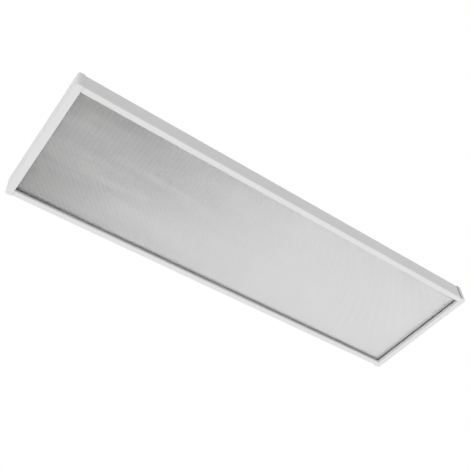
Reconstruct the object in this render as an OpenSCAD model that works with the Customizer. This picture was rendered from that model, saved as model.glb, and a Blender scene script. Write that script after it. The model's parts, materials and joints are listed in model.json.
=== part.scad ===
// Linear high bay light: folded steel housing, wrap-round end caps, recessed prismatic lens,
// LED boards on a reflector tray, and a gear box with a hinged cover and wire hangers on top.
// Frame: +X along the length, +Z up, origin under the middle of the light, where the caps rest.

/* [Body] */
// Overall length over both end caps
body_l = 1219; // [1180:1:1500]
// Width over the housing's side walls
body_w = 352; // [340:1:420]
// Height of the housing from its flange to its top
housing_h = 48; // [44:1:70]
// Thickness of the housing's sheet steel
sheet_t = 1; // [0.8:0.1:1.2]
// Outer radius of the folds in the sheet
bend_r = 1.8; // [1.5:0.1:2.4]
// Width of the flange beside the lens
flange_w = 15.5; // [13:0.5:20]
// Height of the return lip that carries the lens
lip_h = 8; // [6:0.5:12]

/* [End caps] */
// Wall of an end cap
cap_t = 1.5; // [1.2:0.1:2]
// How far a cap wraps along the body, which is also the flange at the end
cap_wrap = 17; // [16:0.5:24]
// Corner radius of a cap, seen from below
cap_corner_r = 8; // [5:0.5:9]
// Rounding of a cap's top and bottom edges
cap_edge_r = 2.5; // [1:0.5:2.5]
// Distance of the outer cap screws from the middle
cap_screw_y = 120; // [60:5:140]

/* [Lens] */
// Thickness of the acrylic lens
lens_t = 3; // [2:0.5:4]
// How far the lens reaches over the lips
lens_rest = 4; // [3:0.5:5]

/* [Reflector tray] */
// Thickness of the tray's sheet
tray_t = 0.8; // [0.6:0.1:1]
// Width of the tray's flat middle
tray_flat_w = 264; // [250:2:270]
// Width of the tray's feet on the lens
tray_foot_w = 6; // [4:0.5:8]
// Distance from the lens opening's end to an end reflector
reflector_inset = 7; // [4:1:20]
// Depth of an end reflector's flange under the tray
reflector_flange = 10; // [8:1:16]

/* [LED boards] */
// Distance between rows of boards
row_pitch = 66; // [60:1:68]
// Width of a board
board_w = 24; // [18:1:26]
// Thickness of a board
board_t = 1.6; // [1:0.2:2]
// Gap between the left and right boards of a row
board_gap = 24; // [22:1:30]
// LED packages on a board
leds_per_board = 12; // [6:1:16]
// Side of a square LED package
led_w = 5; // [3:0.5:5]
// Height of an LED package
led_h = 0.8; // [0.5:0.1:1.2]

/* [Gear box] */
// Length of the gear box
gear_l = 640; // [600:5:660]
// Width of the gear box
gear_w = 130; // [126:1:136]
// Height of the gear box
gear_h = 36; // [35:1:44]
// Width of the inward flanges at the gear box's top
gear_flange_w = 10; // [8:0.5:12]
// Thickness of the gear box's end plates
end_plate_t = 1.2; // [1:0.1:1.5]
// Foot of a gear box end plate on the housing
end_plate_foot = 12; // [11:1:16]
// Radius of the conduit holes
conduit_r = 11.1; // [10:0.1:11.1]
// Distance of the end plates' conduit holes from the gear box's middle
conduit_y = 30; // [26:1:34]
// Distance between the gear box cover's sides and the box
cover_gap = 1.5; // [1.2:0.1:2]
// Depth of the gear cover's turned-down edges
cover_edge = 6.6; // [5:0.2:8]

/* [Hinges and latches] */
// Distance of each hinge from the cover's middle
hinge_x = 220; // [150:5:240]
// Length of a hinge
hinge_l = 60; // [50:5:80]
// Radius of a hinge pin
hinge_pin_r = 1.5; // [1.2:0.1:1.8]
// Outer radius of a hinge knuckle
knuckle_r = 3.2; // [3:0.1:3.6]
// Thickness of a hinge leaf
leaf_t = 1.2; // [1:0.1:1.4]
// Distance of each latch from the cover's middle
latch_x = 200; // [120:5:240]
// Radius of a latch's shaft
latch_shaft_r = 4; // [3:0.5:4.5]
// Reach of a latch's cam from its shaft's centre
latch_cam_l = 14; // [13:0.5:15]

/* [Drivers and wiring] */
// Length of an LED driver's case
driver_l = 200; // [180:5:205]
// Width of an LED driver
driver_w = 66; // [50:1:70]
// Height of an LED driver
driver_h = 28; // [20:1:28]
// Distance of a harness grommet from the gear box's end
grommet_inset = 14; // [12:1:20]
// Distance from a harness grommet to the driver beside it
grommet_gap = 14; // [12:1:18]
// Radius of the DC harness
harness_r = 2.5; // [2:0.1:3]
// Radius of a single lead
lead_r = 1.25; // [1:0.05:1.5]
// Radius of the grommet holes
grommet_hole_r = 7; // [6.5:0.1:8]

/* [Hangers] */
// Distance of a hanger's pivot from the end of the light
hanger_inset = 149.5; // [140:0.5:165]
// Distance from a hanger's pivot to the top of its loop
hanger_l = 96; // [80:1:100]
// Radius of the hanger wire
wire_r = 2; // [1.8:0.1:2.2]
// Height of the pivot above the housing
pivot_h = 10.5; // [9:0.5:13]
// Thickness of a hanger bracket
bracket_t = 1.5; // [1.2:0.1:2]
// Width of a hanger bracket along the light
bracket_w = 40; // [36:1:44]
// Distance between a bracket's ears, middle to middle
ear_span = 124; // [116:1:130]

/* [Mounting holes] */
// Radius of the ceiling mounting holes
mount_hole_r = 3.5; // [3:0.1:4]
// Distance of the mounting holes from the end of the light
mount_inset = 69.5; // [60:0.5:90]
// Distance of the mounting holes from the side wall
mount_side = 26; // [20:1:30]

/* [Fasteners] */
// Radius of the sheet metal screws
screw_r = 2; // [1.6:0.1:2.2]
// Radius of the screws' heads
screw_head_r = 3.6; // [3:0.1:3.8]
// Radius of the rivets
rivet_r = 1.6; // [1.2:0.1:2]
// Radius of the rivets' heads
rivet_head_r = 3.2; // [2.6:0.1:3.6]

/* [Clearances] */
// Running clearance of pins and shafts
running_gap = 0.05; // [0.02:0.01:0.1]
// Clearance of fixed shanks and necks in their holes
fixed_gap = 0.1; // [0.05:0.05:0.2]
// Clearance between parts that move past each other
moving_gap = 0.4; // [0.3:0.05:0.6]
// Clearance between a lying hanger and the housing
rest_gap = 0.3; // [0.2:0.05:0.5]

/* [Hidden] */
$fn = 48;
// Extra depth of a cut past a face
cut = 1;
arc_steps = 6;

// Levels and edges of the housing, the caps and the lens
half_l = body_l / 2;
half_w = body_w / 2;
flange_z = cap_t;
top_z = flange_z + housing_h;
cap_top_z = top_z + cap_t;
lens_z = flange_z + lip_h;
lens_top_z = lens_z + lens_t;
open_x = half_l - cap_wrap;
open_y = half_w - flange_w;
end_gap = 0.5;
housing_x = half_l - cap_corner_r - end_gap;
cap_screw_x = (open_x + housing_x) / 2;
lens_x = open_x + lens_rest;
lens_y = open_y + lens_rest;

// Screws and rivets
head_h = 2.4;
head_taper = 0.65;
screw_l = 6;
recess_w = 0.9;
recess_l = 3.6;
recess_depth = 1.2;
rivet_head_h = 1.2;
rivet_tail_l = 1;
fixing_edge = 5;

// Reflector tray and end reflectors
tray_side_gap = 1.5;
tray_end_gap = 2;
tray_screw_insets = [209.5, 55];
tray_screw_tip = 2;
tray_top_z = top_z - sheet_t;
tray_z = tray_top_z - tray_t;
tray_foot_y = lens_y - tray_side_gap;
tray_flat_y = tray_flat_w / 2;
tray_x = open_x - tray_end_gap;
reflector_x = open_x - reflector_inset;
reflector_rivet_x = reflector_x - reflector_flange / 2;

// LED boards
rows = 4;
board_end_gap = 5;
board_z = tray_z - board_t;
board_start = board_gap / 2;
board_l = reflector_x - reflector_flange - board_end_gap - board_start;
led_pitch = board_l / leds_per_board;
board_rivet_steps = [1, floor(leds_per_board / 2), leds_per_board - 1];
connector_l = 8;
connector_w = 8;
connector_h = 4;
connector_inset = 2;
connector_x = board_start + connector_inset;

// Gear box and its cover
gear_x = gear_l / 2;
gear_y = gear_w / 2;
gear_base_z = top_z + sheet_t;
gear_top_z = top_z + gear_h;
gear_screw_inset = 10;
gear_screw_y = gear_y - gear_screw_inset;
gear_screw_x = [100, gear_x - 2 * gear_screw_inset];
end_foot_x = gear_x + end_plate_foot - fixing_edge;
conduit_z = top_z + gear_h / 2;
plug_depth = 3;
plug_flange_t = 1.2;
plug_flange_r = conduit_r + 2.5;
cover_end_gap = 1;
cover_x = gear_x + end_plate_t + cover_end_gap;
cover_inner_y = gear_y + cover_gap;
cover_outer_y = cover_inner_y + sheet_t;
cover_top_z = gear_top_z + sheet_t;
cover_edge_z = cover_top_z - cover_edge;

// Hinges
hinge_y = gear_y + knuckle_r + moving_gap;
hinge_z = cover_edge_z - knuckle_r - moving_gap;
hinge_knuckles = 5;
knuckle_gap = 0.3;
knuckle_l = (hinge_l - (hinge_knuckles - 1) * knuckle_gap) / hinge_knuckles;
fixed_leaf_lift = 8;
fixed_leaf_z = top_z + fixed_leaf_lift;
pin_head_r = 2.3;
pin_head_h = 1;

// Latches
latch_inset = 20;
latch_y = latch_inset - gear_y;
latch_head_r = 9;
latch_head_h = 3;
latch_wing_l = 16;
latch_wing_w = 4;
latch_wing_h = 7;
cam_w = 8;
cam_t = 2;
cam_z = gear_top_z - sheet_t - rest_gap - cam_t;

// Drivers and wiring
driver_tab_l = 12;
driver_tab_t = 1.5;
driver_corner_r = 3;
driver_screw_y = 10;
grommet_x = gear_x - grommet_inset;
driver_end_x = grommet_x - grommet_gap - driver_tab_l;
driver_near_x = driver_end_x - driver_l;
driver_lead_z = gear_base_z + driver_h / 2;
grommet_wall = 2.5;
grommet_flange_r = grommet_hole_r + grommet_wall;
grommet_flange_h = 1.5;
grommet_bore_r = grommet_hole_r - grommet_wall;
terminal_l = 40;
terminal_w = 24;
terminal_h = 20;
terminal_well_r = 2.4;
terminal_well_depth = 6;
terminal_poles = 3;
pole_pitch = terminal_l / terminal_poles;
terminal_lead_z = gear_base_z + terminal_h / 2;
lead_y = 7;
lead_rise = 6;
lead_straight = 8;
earth_x = 0;
earth_y = 40;
splitter_l = 20;
splitter_w = 14;
splitter_h = 6;
splitter_x = 48;
harness_y = -8;
harness_z = tray_z - splitter_h / 2;
harness_bend_l = 50;
branch_r = 1;
branch_start = [4.5, 1.5];
branch_lane = [5, 9];

// Hangers and their brackets
pivot_z = top_z + pivot_h;
hanger_x = half_l - hanger_inset;
ear_y = ear_span / 2;
ear_h = 18;
foot_r = wire_r + 0.2;
foot_inset = 8;
foot_end = 6;
foot_overlap = 2;
foot_l = foot_overlap + foot_inset + foot_end;
hanger_foot_y = ear_y - foot_inset;
hanger_loop_r = 9;
hanger_tilt = asin((pivot_h - wire_r - rest_gap) / hanger_l);
bracket_rivet_x = 12;
bracket_rivet_inset = 7;
bracket_rivet_y = ear_y - bracket_rivet_inset;
bracket_fold_r = bracket_t + 1;

// Ceiling mounting holes
mount_x = half_l - mount_inset;
mount_y = half_w - mount_side;

// Points of an arc about a centre, from one angle to another
function arc(x, y, r, from, to) =
    [for (i = [0 : arc_steps]) let (a = from + (to - from) * i / arc_steps)
        [x + r * cos(a), y + r * sin(a)]];

// Rectangle with all four corners rounded
function round_rect(x0, y0, x1, y1, r) = concat(
    arc(x1 - r, y1 - r, r, 0, 90), arc(x0 + r, y1 - r, r, 90, 180),
    arc(x0 + r, y0 + r, r, 180, 270), arc(x1 - r, y0 + r, r, 270, 360));

function left_of(d) = [-d[1], d[0]];
function unit(v) = v / norm(v);
function reversed(list) = [for (i = [len(list) - 1 : -1 : 0]) list[i]];

// One side of a fold: the points at a distance to the left of the sheet's middle line
function fold(p, i, r, off) = let (
    a = unit(p[i] - p[i - 1]),
    b = unit(p[i + 1] - p[i]),
    turn = atan2(a[0] * b[1] - a[1] * b[0], a * b),
    side = sign(turn),
    c = p[i] - a * r * tan(abs(turn) / 2) + left_of(a) * side * r,
    start = atan2(-side * left_of(a)[1], -side * left_of(a)[0]))
    arc(c[0], c[1], r - side * off, start, start + turn);

function sheet_side(p, r, off) = concat(
    [p[0] + left_of(unit(p[1] - p[0])) * off],
    [for (i = [1 : len(p) - 2]) each fold(p, i, r, off)],
    [p[len(p) - 1] + left_of(unit(p[len(p) - 1] - p[len(p) - 2])) * off]);

// Outline of a folded sheet along its middle line
function sheet(p, t, outer_r) = concat(
    sheet_side(p, outer_r - t / 2, t / 2),
    reversed(sheet_side(p, outer_r - t / 2, -t / 2)));

// Half a middle line, completed by its mirror image about the light's middle plane
function both_sides(half) = concat(half, [for (p = reversed(half)) [-p[0], p[1]]]);

// Smooth curve through points, as rings' centres for a tube
function curve_point(p0, p1, p2, p3, t) =
    0.5 * (2 * p1 + (p2 - p0) * t + (2 * p0 - 5 * p1 + 4 * p2 - p3) * t * t
    + (3 * p1 - p0 - 3 * p2 + p3) * t * t * t);
function smooth(p, steps) = concat([for (i = [0 : len(p) - 2], k = [0 : steps - 1])
    curve_point(i == 0 ? 2 * p[0] - p[1] : p[i - 1], p[i], p[i + 1],
        i == len(p) - 2 ? 2 * p[i + 1] - p[i] : p[i + 2], k / steps)], [p[len(p) - 1]]);

function direction(p, i) =
    unit(p[min(i + 1, len(p) - 1)] - p[max(i - 1, 0)]);

// Round tube swept along points, with side a direction that no stretch runs along
module tube(p, r, side, sides = 8) {
    n = len(p);
    points = [for (i = [0 : n - 1]) let (
        d = direction(p, i),
        u = unit(cross(side, d)),
        v = cross(d, u))
        for (k = [0 : sides - 1]) p[i] + r * (cos(360 * k / sides) * u + sin(360 * k / sides) * v)];
    walls = [for (i = [0 : n - 2], k = [0 : sides - 1]) let (
        a = i * sides + k,
        b = i * sides + (k + 1) % sides)
        each [[a, a + sides, b], [b, a + sides, b + sides]]];
    start = [for (k = [1 : sides - 2]) [0, k, k + 1]];
    last = (n - 1) * sides;
    end = [for (k = [1 : sides - 2]) [last, last + k + 1, last + k]];
    polyhedron(points, concat(walls, start, end));
}

// Extrudes an outline drawn in Y and Z from one x to another
module along_x(x0, x1) {
    translate([x0, 0, 0])
        rotate([90, 0, 90])
            linear_extrude(x1 - x0)
                children();
}

// Extrudes an outline drawn in X and Z from one y to another
module along_y(y0, y1) {
    translate([0, y1, 0])
        rotate([90, 0, 0])
            linear_extrude(y1 - y0)
                children();
}

module on_side(side) {
    if (side < 0)
        mirror([1, 0, 0]) children();
    else
        children();
}

module both_ends() {
    for (side = [-1, 1])
        on_side(side) children();
}

module hole(x, y, z, r, depth) {
    translate([x, y, z - depth / 2])
        cylinder(h = depth, r = r);
}

// Pan head screw with a cross recess, its head's underside at the origin and its shank below
module screw(shank_l) {
    difference() {
        union() {
            cylinder(h = head_h / 2, r = screw_head_r);
            translate([0, 0, head_h / 2])
                cylinder(h = head_h / 2, r1 = screw_head_r, r2 = screw_head_r * head_taper);
        }
        translate([-recess_l / 2, -recess_w / 2, head_h - recess_depth])
            cube([recess_l, recess_w, head_h]);
        translate([-recess_w / 2, -recess_l / 2, head_h - recess_depth])
            cube([recess_w, recess_l, head_h]);
    }
    translate([0, 0, -shank_l])
        cylinder(h = shank_l, r = screw_r);
}

// Rivet with its head's underside at the origin and its shank below
module rivet(shank_l) {
    cylinder(h = rivet_head_h / 2, r = rivet_head_r);
    translate([0, 0, rivet_head_h / 2])
        cylinder(h = rivet_head_h / 2, r1 = rivet_head_r, r2 = rivet_head_r * head_taper);
    translate([0, 0, -shank_l])
        cylinder(h = shank_l, r = rivet_r);
}

// Places of each kind of fastener and hole, written once for the fastener and what it goes through
module at_cap_screws() {
    for (y = [-cap_screw_y, 0, cap_screw_y])
        translate([cap_screw_x, y, 0]) children();
}

module at_tray_screws() {
    for (side = [-1, 1], inset = tray_screw_insets, y = [-row_pitch, row_pitch])
        translate([side * (half_l - inset), y, 0]) children();
}

module at_gear_screws() {
    for (side = [-1, 1], x = gear_screw_x, y = [-gear_screw_y, gear_screw_y])
        translate([side * x, y, 0]) children();
}

module at_end_plate_screws() {
    for (y = [-gear_screw_y, gear_screw_y])
        translate([end_foot_x, y, 0]) children();
}

module at_driver_screws() {
    for (x = [driver_near_x - driver_tab_l / 2, driver_end_x + driver_tab_l / 2])
        translate([x, driver_screw_y, 0]) children();
}

module at_bracket_rivets() {
    for (dx = [-bracket_rivet_x, bracket_rivet_x], y = [-bracket_rivet_y, bracket_rivet_y])
        translate([hanger_x + dx, y, 0]) children();
}

module at_board_rivets(row) {
    for (step = board_rivet_steps)
        translate([board_start + step * led_pitch, row_y(row), 0]) children();
}

module at_reflector_rivets() {
    for (y = [-row_pitch, row_pitch])
        translate([reflector_rivet_x, y, 0]) children();
}

function row_y(row) = (row - (rows - 1) / 2) * row_pitch;

module screw_hole() {
    hole(0, 0, 0, screw_r + fixed_gap, 2 * top_z);
}

module rivet_hole() {
    hole(0, 0, 0, rivet_r + fixed_gap, 2 * top_z);
}

// Every hole that goes through both the housing's top and the tray under it
module shared_holes() {
    translate([0, 0, top_z]) {
        at_tray_screws() screw_hole();
        at_gear_screws() screw_hole();
        both_ends() {
            at_end_plate_screws() screw_hole();
            at_driver_screws() screw_hole();
            at_bracket_rivets() rivet_hole();
            hole(grommet_x, 0, 0, grommet_hole_r, 2 * top_z);
        }
    }
}

// Folded steel housing
module housing() {
    m = sheet_t / 2;
    line = both_sides([
        [open_y + m, lens_z], [open_y + m, flange_z + m],
        [half_w - m, flange_z + m], [half_w - m, top_z - m]]);
    color("white")
        difference() {
            along_x(-housing_x, housing_x)
                polygon(sheet(line, sheet_t, bend_r));
            intersection() {
                union() {
                    shared_holes();
                    both_ends() {
                        translate([0, 0, top_z]) {
                            at_cap_screws() screw_hole();
                            for (y = [-mount_y, mount_y])
                                hole(mount_x, y, 0, mount_hole_r, 2 * top_z);
                        }
                    }
                }
                translate([-half_l, -half_w, top_z - sheet_t - cut])
                    cube([body_l, body_w, sheet_t + 2 * cut]);
            }
        }
}

// End cap: a shell slipped over the housing's end, closed below by the end flange and its lip
module end_cap(side) {
    outer_y = half_w + cap_t;
    inner_x = half_l - cap_t;
    inner_r = cap_corner_r - cap_t;
    color("white")
        on_side(side)
            difference() {
                union() {
                    difference() {
                        intersection() {
                            linear_extrude(cap_top_z)
                                polygon(plan(open_x, half_l, outer_y, cap_corner_r));
                            along_x(open_x, half_l)
                                polygon(round_rect(-outer_y, 0, outer_y, cap_top_z, cap_edge_r));
                            along_y(-outer_y, outer_y)
                                polygon(concat([[open_x, 0]],
                                    arc(half_l - cap_edge_r, cap_edge_r, cap_edge_r, 270, 360),
                                    arc(half_l - cap_edge_r, cap_top_z - cap_edge_r, cap_edge_r, 0, 90),
                                    [[open_x, cap_top_z]]));
                        }
                        translate([0, 0, flange_z])
                            linear_extrude(housing_h)
                                polygon(plan(open_x - cut, inner_x, half_w, inner_r));
                    }
                    translate([open_x, fixed_gap - open_y, 0])
                        cube([cap_t, 2 * (open_y - fixed_gap), lens_z]);
                }
                translate([0, 0, cap_top_z])
                    at_cap_screws()
                        hole(0, 0, 0, screw_r + fixed_gap, 2 * (cap_t + cut));
            }
}

// Outline in X and Y of a cap: square at the housing, rounded at the end
function plan(x0, x1, y, r) = concat(
    [[x0, -y]], arc(x1 - r, r - y, r, 270, 360), arc(x1 - r, y - r, r, 0, 90), [[x0, y]]);

module end_cap_screws() {
    color("silver")
        both_ends()
            translate([0, 0, cap_top_z])
                at_cap_screws() screw(screw_l);
}

// Clear lens with a prismatic underside, drawn here as its plain sheet
module lens() {
    color("gainsboro")
        translate([-lens_x, -lens_y, lens_z])
            cube([2 * lens_x, 2 * lens_y, lens_t]);
}

// White reflector tray, whose feet hold the lens down
module reflector_tray() {
    m = tray_t / 2;
    line = both_sides([
        [tray_foot_y, lens_top_z + m], [tray_foot_y - tray_foot_w, lens_top_z + m],
        [tray_flat_y, tray_top_z - m]]);
    color("white")
        difference() {
            along_x(-tray_x, tray_x)
                polygon(sheet(line, tray_t, bend_r));
            shared_holes();
            translate([0, 0, tray_top_z])
                both_ends() {
                    at_reflector_rivets() rivet_hole();
                    for (row = [0 : rows - 1])
                        at_board_rivets(row) rivet_hole();
                }
        }
}

module tray_screws() {
    color("silver")
        translate([0, 0, tray_z])
            at_tray_screws()
                mirror([0, 0, 1]) screw(tray_t + sheet_t + tray_screw_tip);
}

// End reflector, a plate across the tray's end with a flange under the tray
module end_reflector(side) {
    m = tray_t / 2;
    foot_inner_y = tray_foot_y - tray_foot_w - bend_r;
    inner_flat_y = tray_flat_y - bend_r;
    color("white")
        on_side(side)
            difference() {
                intersection() {
                    along_y(-half_w, half_w)
                        polygon(sheet([
                            [reflector_x - reflector_flange, tray_z - m],
                            [reflector_x - m, tray_z - m],
                            [reflector_x - m, lens_top_z + rest_gap]], tray_t, bend_r));
                    along_x(0, half_l)
                        polygon([
                            [-foot_inner_y, lens_top_z], [foot_inner_y, lens_top_z],
                            [inner_flat_y, tray_z], [-inner_flat_y, tray_z]]);
                }
                translate([0, 0, tray_z])
                    at_reflector_rivets() rivet_hole();
            }
}

module end_reflector_rivets() {
    color("silver")
        both_ends()
            translate([0, 0, tray_z - tray_t])
                at_reflector_rivets()
                    mirror([0, 0, 1]) rivet(2 * tray_t);
}

module led_board(row, side) {
    color("whitesmoke")
        on_side(side)
            difference() {
                translate([board_start, row_y(row) - board_w / 2, board_z])
                    cube([board_l, board_w, board_t]);
                translate([0, 0, board_z])
                    at_board_rivets(row) rivet_hole();
            }
}

module led_packages() {
    color("khaki")
        both_ends()
            for (row = [0 : rows - 1], i = [0 : leds_per_board - 1])
                translate([board_start + (i + 0.5) * led_pitch - led_w / 2,
                    row_y(row) - led_w / 2, board_z - led_h])
                    cube([led_w, led_w, led_h]);
}

module board_rivets() {
    color("white")
        both_ends()
            translate([0, 0, board_z])
                for (row = [0 : rows - 1])
                    at_board_rivets(row)
                        mirror([0, 0, 1]) rivet(board_t + tray_t);
}

// Push-in connectors at the inner ends of the boards
module board_connectors() {
    color("white")
        both_ends()
            for (row = [0 : rows - 1])
                translate([connector_x, row_y(row) - connector_w / 2, board_z - connector_h])
                    cube([connector_l, connector_w, connector_h]);
}

// DC harness: a trunk from the driver, down through the grommet and along the tray to a
// splitter, and a branch from there to each board's connector
module led_harness(side) {
    trunk = [
        [driver_end_x, 0, driver_lead_z],
        [driver_end_x + 2, 0, driver_lead_z],
        [driver_end_x + 12, 0, driver_lead_z],
        [grommet_x - 3, 0, driver_lead_z - 3],
        [grommet_x, 0, driver_lead_z - 10],
        [grommet_x, 0, top_z],
        [grommet_x, 0, tray_z - 0.5],
        [grommet_x - 4, 0, harness_z - 2],
        [grommet_x - 18, harness_y / 2, harness_z],
        [grommet_x - 32, harness_y, harness_z],
        [grommet_x - harness_bend_l, harness_y, harness_z],
        [grommet_x / 2, harness_y, harness_z],
        [splitter_x, harness_y, harness_z]];
    color("white")
        on_side(side) {
            tube(smooth(trunk, 4), harness_r, [0, 1, 0.2]);
            for (row = [0 : rows - 1])
                tube(smooth(branch(row), 3), branch_r, [0, 0, 1], 6);
        }
}

// Route of one branch, in a lane of its own between the boards
function branch(row) = let (
    outer = row == 0 || row == rows - 1 ? 1 : 0,
    lane = board_start - branch_lane[outer],
    turn = sign(row_y(row)),
    start_y = harness_y + turn * branch_start[outer],
    z = board_z - connector_h / 2)
    [[splitter_x - splitter_l, start_y, harness_z],
     [splitter_x - splitter_l - 1, start_y, harness_z],
     [splitter_x - splitter_l - 2, start_y, harness_z],
     [lane + 12, start_y, z],
     [lane + 8, start_y, z],
     [lane, start_y + turn * 5, z],
     [lane, start_y + turn * 8, z],
     [lane, row_y(row) - turn * 9, z],
     [lane, row_y(row) - turn * 6, z],
     [lane + 2, row_y(row) - turn * 1.5, z],
     [connector_x - 2, row_y(row), z],
     [connector_x - 1, row_y(row), z],
     [connector_x, row_y(row), z]];

module harness_splitters() {
    color("ivory")
        both_ends()
            translate([splitter_x - splitter_l, harness_y - splitter_w / 2, tray_z - splitter_h])
                cube([splitter_l, splitter_w, splitter_h]);
}

// Nylon grommets round the harness, through the gear box, the housing and the tray
module wire_grommets() {
    neck_h = gear_base_z - tray_z;
    color("ivory")
        both_ends()
            translate([grommet_x, 0, tray_z])
                difference() {
                    union() {
                        cylinder(h = neck_h, r = grommet_hole_r - fixed_gap);
                        translate([0, 0, -grommet_flange_h])
                            cylinder(h = grommet_flange_h, r = grommet_flange_r);
                        translate([0, 0, neck_h])
                            cylinder(h = grommet_flange_h, r = grommet_flange_r);
                    }
                    hole(0, 0, 0, grommet_bore_r, 2 * top_z);
                }
}

// Gear box: a lipped channel on the housing, with the supply's conduit hole in its near side
module gear_box() {
    m = sheet_t / 2;
    line = both_sides([
        [gear_y - gear_flange_w, gear_top_z - m], [gear_y - m, gear_top_z - m],
        [gear_y - m, top_z + m]]);
    color("white")
        difference() {
            along_x(-gear_x, gear_x)
                polygon(sheet(line, sheet_t, bend_r));
            intersection() {
                shared_holes();
                translate([-gear_x, -gear_y, top_z - cut])
                    cube([gear_l, gear_w, sheet_t + 2 * cut]);
            }
            translate([earth_x, earth_y, top_z])
                screw_hole();
            translate([0, m - gear_y, conduit_z])
                rotate([90, 0, 0])
                    cylinder(h = sheet_t + 2 * cut, r = conduit_r, center = true);
        }
}

// End plate of the gear box, with a spare conduit hole
module gear_box_end(side) {
    m = end_plate_t / 2;
    color("white")
        on_side(side)
            difference() {
                along_y(-gear_y, gear_y)
                    polygon(sheet([
                        [gear_x + end_plate_foot, top_z + m], [gear_x + m, top_z + m],
                        [gear_x + m, gear_top_z]], end_plate_t, bend_r));
                translate([gear_x - cut, -conduit_y, conduit_z])
                    rotate([0, 90, 0])
                        cylinder(h = end_plate_t + 2 * cut, r = conduit_r);
                translate([0, 0, top_z])
                    at_end_plate_screws()
                        hole(0, 0, 0, screw_r + fixed_gap, 2 * (end_plate_t + cut));
            }
}

module gear_box_screws() {
    color("silver") {
        translate([0, 0, gear_base_z])
            at_gear_screws() screw(screw_l);
        both_ends()
            translate([0, 0, top_z + end_plate_t])
                at_end_plate_screws() screw(screw_l);
    }
}

// Snap-in plugs in the end plates' conduit holes
module hole_plugs() {
    color("silver")
        both_ends()
            translate([gear_x + end_plate_t, -conduit_y, conduit_z])
                rotate([0, 90, 0]) {
                    cylinder(h = plug_flange_t, r = plug_flange_r);
                    translate([0, 0, -end_plate_t - plug_depth])
                        cylinder(h = end_plate_t + plug_depth, r = conduit_r - fixed_gap);
                }
}

// LED driver: a sealed case with a screw tab at each end
module driver(side) {
    color("lightgray")
        on_side(side) {
            difference() {
                translate([driver_near_x - driver_tab_l, -driver_w / 4, gear_base_z])
                    cube([driver_l + 2 * driver_tab_l, driver_w / 2, driver_tab_t]);
                translate([0, 0, gear_base_z])
                    at_driver_screws()
                        hole(0, 0, 0, screw_r + fixed_gap, 2 * (driver_tab_t + cut));
            }
            along_x(driver_near_x, driver_end_x)
                polygon(round_rect(-driver_w / 2, gear_base_z, driver_w / 2, gear_base_z + driver_h,
                    driver_corner_r));
        }
}

module driver_screws() {
    color("silver")
        both_ends()
            translate([0, 0, gear_base_z + driver_tab_t])
                at_driver_screws() screw(screw_l);
}

module terminal_block() {
    color("ivory")
        difference() {
            translate([-terminal_l / 2, -terminal_w / 2, gear_base_z])
                cube([terminal_l, terminal_w, terminal_h]);
            for (i = [0 : terminal_poles - 1], y = [-1, 1])
                translate([(i - (terminal_poles - 1) / 2) * pole_pitch, y * terminal_w / 4,
                    gear_base_z + terminal_h - terminal_well_depth])
                    cylinder(h = terminal_h, r = terminal_well_r);
        }
}

// Lead from the terminal block to a driver, at a distance from the middle
module lead(y) {
    x0 = terminal_l / 2;
    x1 = driver_near_x;
    tube(smooth([
        [x0, y, terminal_lead_z],
        [x0 + lead_straight / 2, y, terminal_lead_z],
        [x0 + lead_straight, y, terminal_lead_z],
        [(x0 + x1) / 2, y * 1.2, driver_lead_z + lead_rise],
        [x1 - lead_straight, y, driver_lead_z],
        [x1 - lead_straight / 2, y, driver_lead_z],
        [x1, y, driver_lead_z]], 4), lead_r, [0, 1, 0]);
}

module live_leads() {
    color("dimgray")
        both_ends() lead(-lead_y);
}

module neutral_leads() {
    color("white")
        both_ends() lead(lead_y);
}

module earth_leads() {
    color("green") {
        both_ends() lead(0);
        tube(smooth([
            [earth_x, terminal_w / 2, terminal_lead_z - 3],
            [earth_x, terminal_w / 2 + lead_straight / 2, terminal_lead_z - 3],
            [earth_x, terminal_w / 2 + lead_straight, terminal_lead_z - 3],
            [earth_x, earth_y - 12, gear_base_z + lead_r + 1],
            [earth_x, earth_y - screw_head_r, gear_base_z + lead_r]], 4), lead_r, [1, 0, 0]);
    }
}

module earth_screw() {
    color("green")
        translate([earth_x, earth_y, gear_base_z])
            screw(sheet_t);
}

// Cover of the gear box, with turned-down edges outside the box's walls
module gear_cover() {
    m = sheet_t / 2;
    line = both_sides([
        [cover_inner_y + m, cover_edge_z], [cover_inner_y + m, cover_top_z - m]]);
    color("white")
        difference() {
            along_x(-cover_x, cover_x)
                polygon(sheet(line, sheet_t, bend_r));
            for (side = [-1, 1])
                hole(side * latch_x, latch_y, gear_top_z, latch_shaft_r + running_gap,
                    2 * (sheet_t + cut));
        }
}

// Start of a knuckle along the hinge
function knuckle_start(i) = hinge_x - hinge_l / 2 + i * (knuckle_l + knuckle_gap);

// Knuckles of a hinge whose place is even (0) or odd (1), with what joins them to their leaf
module knuckles(first) {
    for (i = [first : 2 : hinge_knuckles - 1])
        translate([knuckle_start(i), hinge_y, hinge_z])
            rotate([0, 90, 0])
                difference() {
                    union() {
                        cylinder(h = knuckle_l, r = knuckle_r);
                        if (first == 0)
                            translate([0, gear_y - hinge_y, 0])
                                cube([knuckle_r + moving_gap + cut, leaf_t, knuckle_l]);
                        else
                            translate([-knuckle_r - moving_gap - cut, cover_outer_y - hinge_y, 0])
                                cube([knuckle_r + moving_gap + cut, leaf_t, knuckle_l]);
                    }
                    translate([0, 0, -cut])
                        cylinder(h = knuckle_l + 2 * cut, r = hinge_pin_r + running_gap);
                }
}

module hinge_fixed_leaves() {
    leaf_top_z = hinge_z - knuckle_r - moving_gap;
    color("silver")
        both_ends() {
            knuckles(0);
            translate([hinge_x - hinge_l / 2, gear_y, fixed_leaf_z])
                cube([hinge_l, leaf_t, leaf_top_z - fixed_leaf_z]);
        }
}

module hinge_cover_leaves() {
    leaf_z = hinge_z + knuckle_r + moving_gap;
    color("silver")
        both_ends() {
            knuckles(1);
            translate([hinge_x - hinge_l / 2, cover_outer_y, leaf_z])
                cube([hinge_l, leaf_t, cover_top_z - bend_r - leaf_z]);
        }
}

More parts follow.
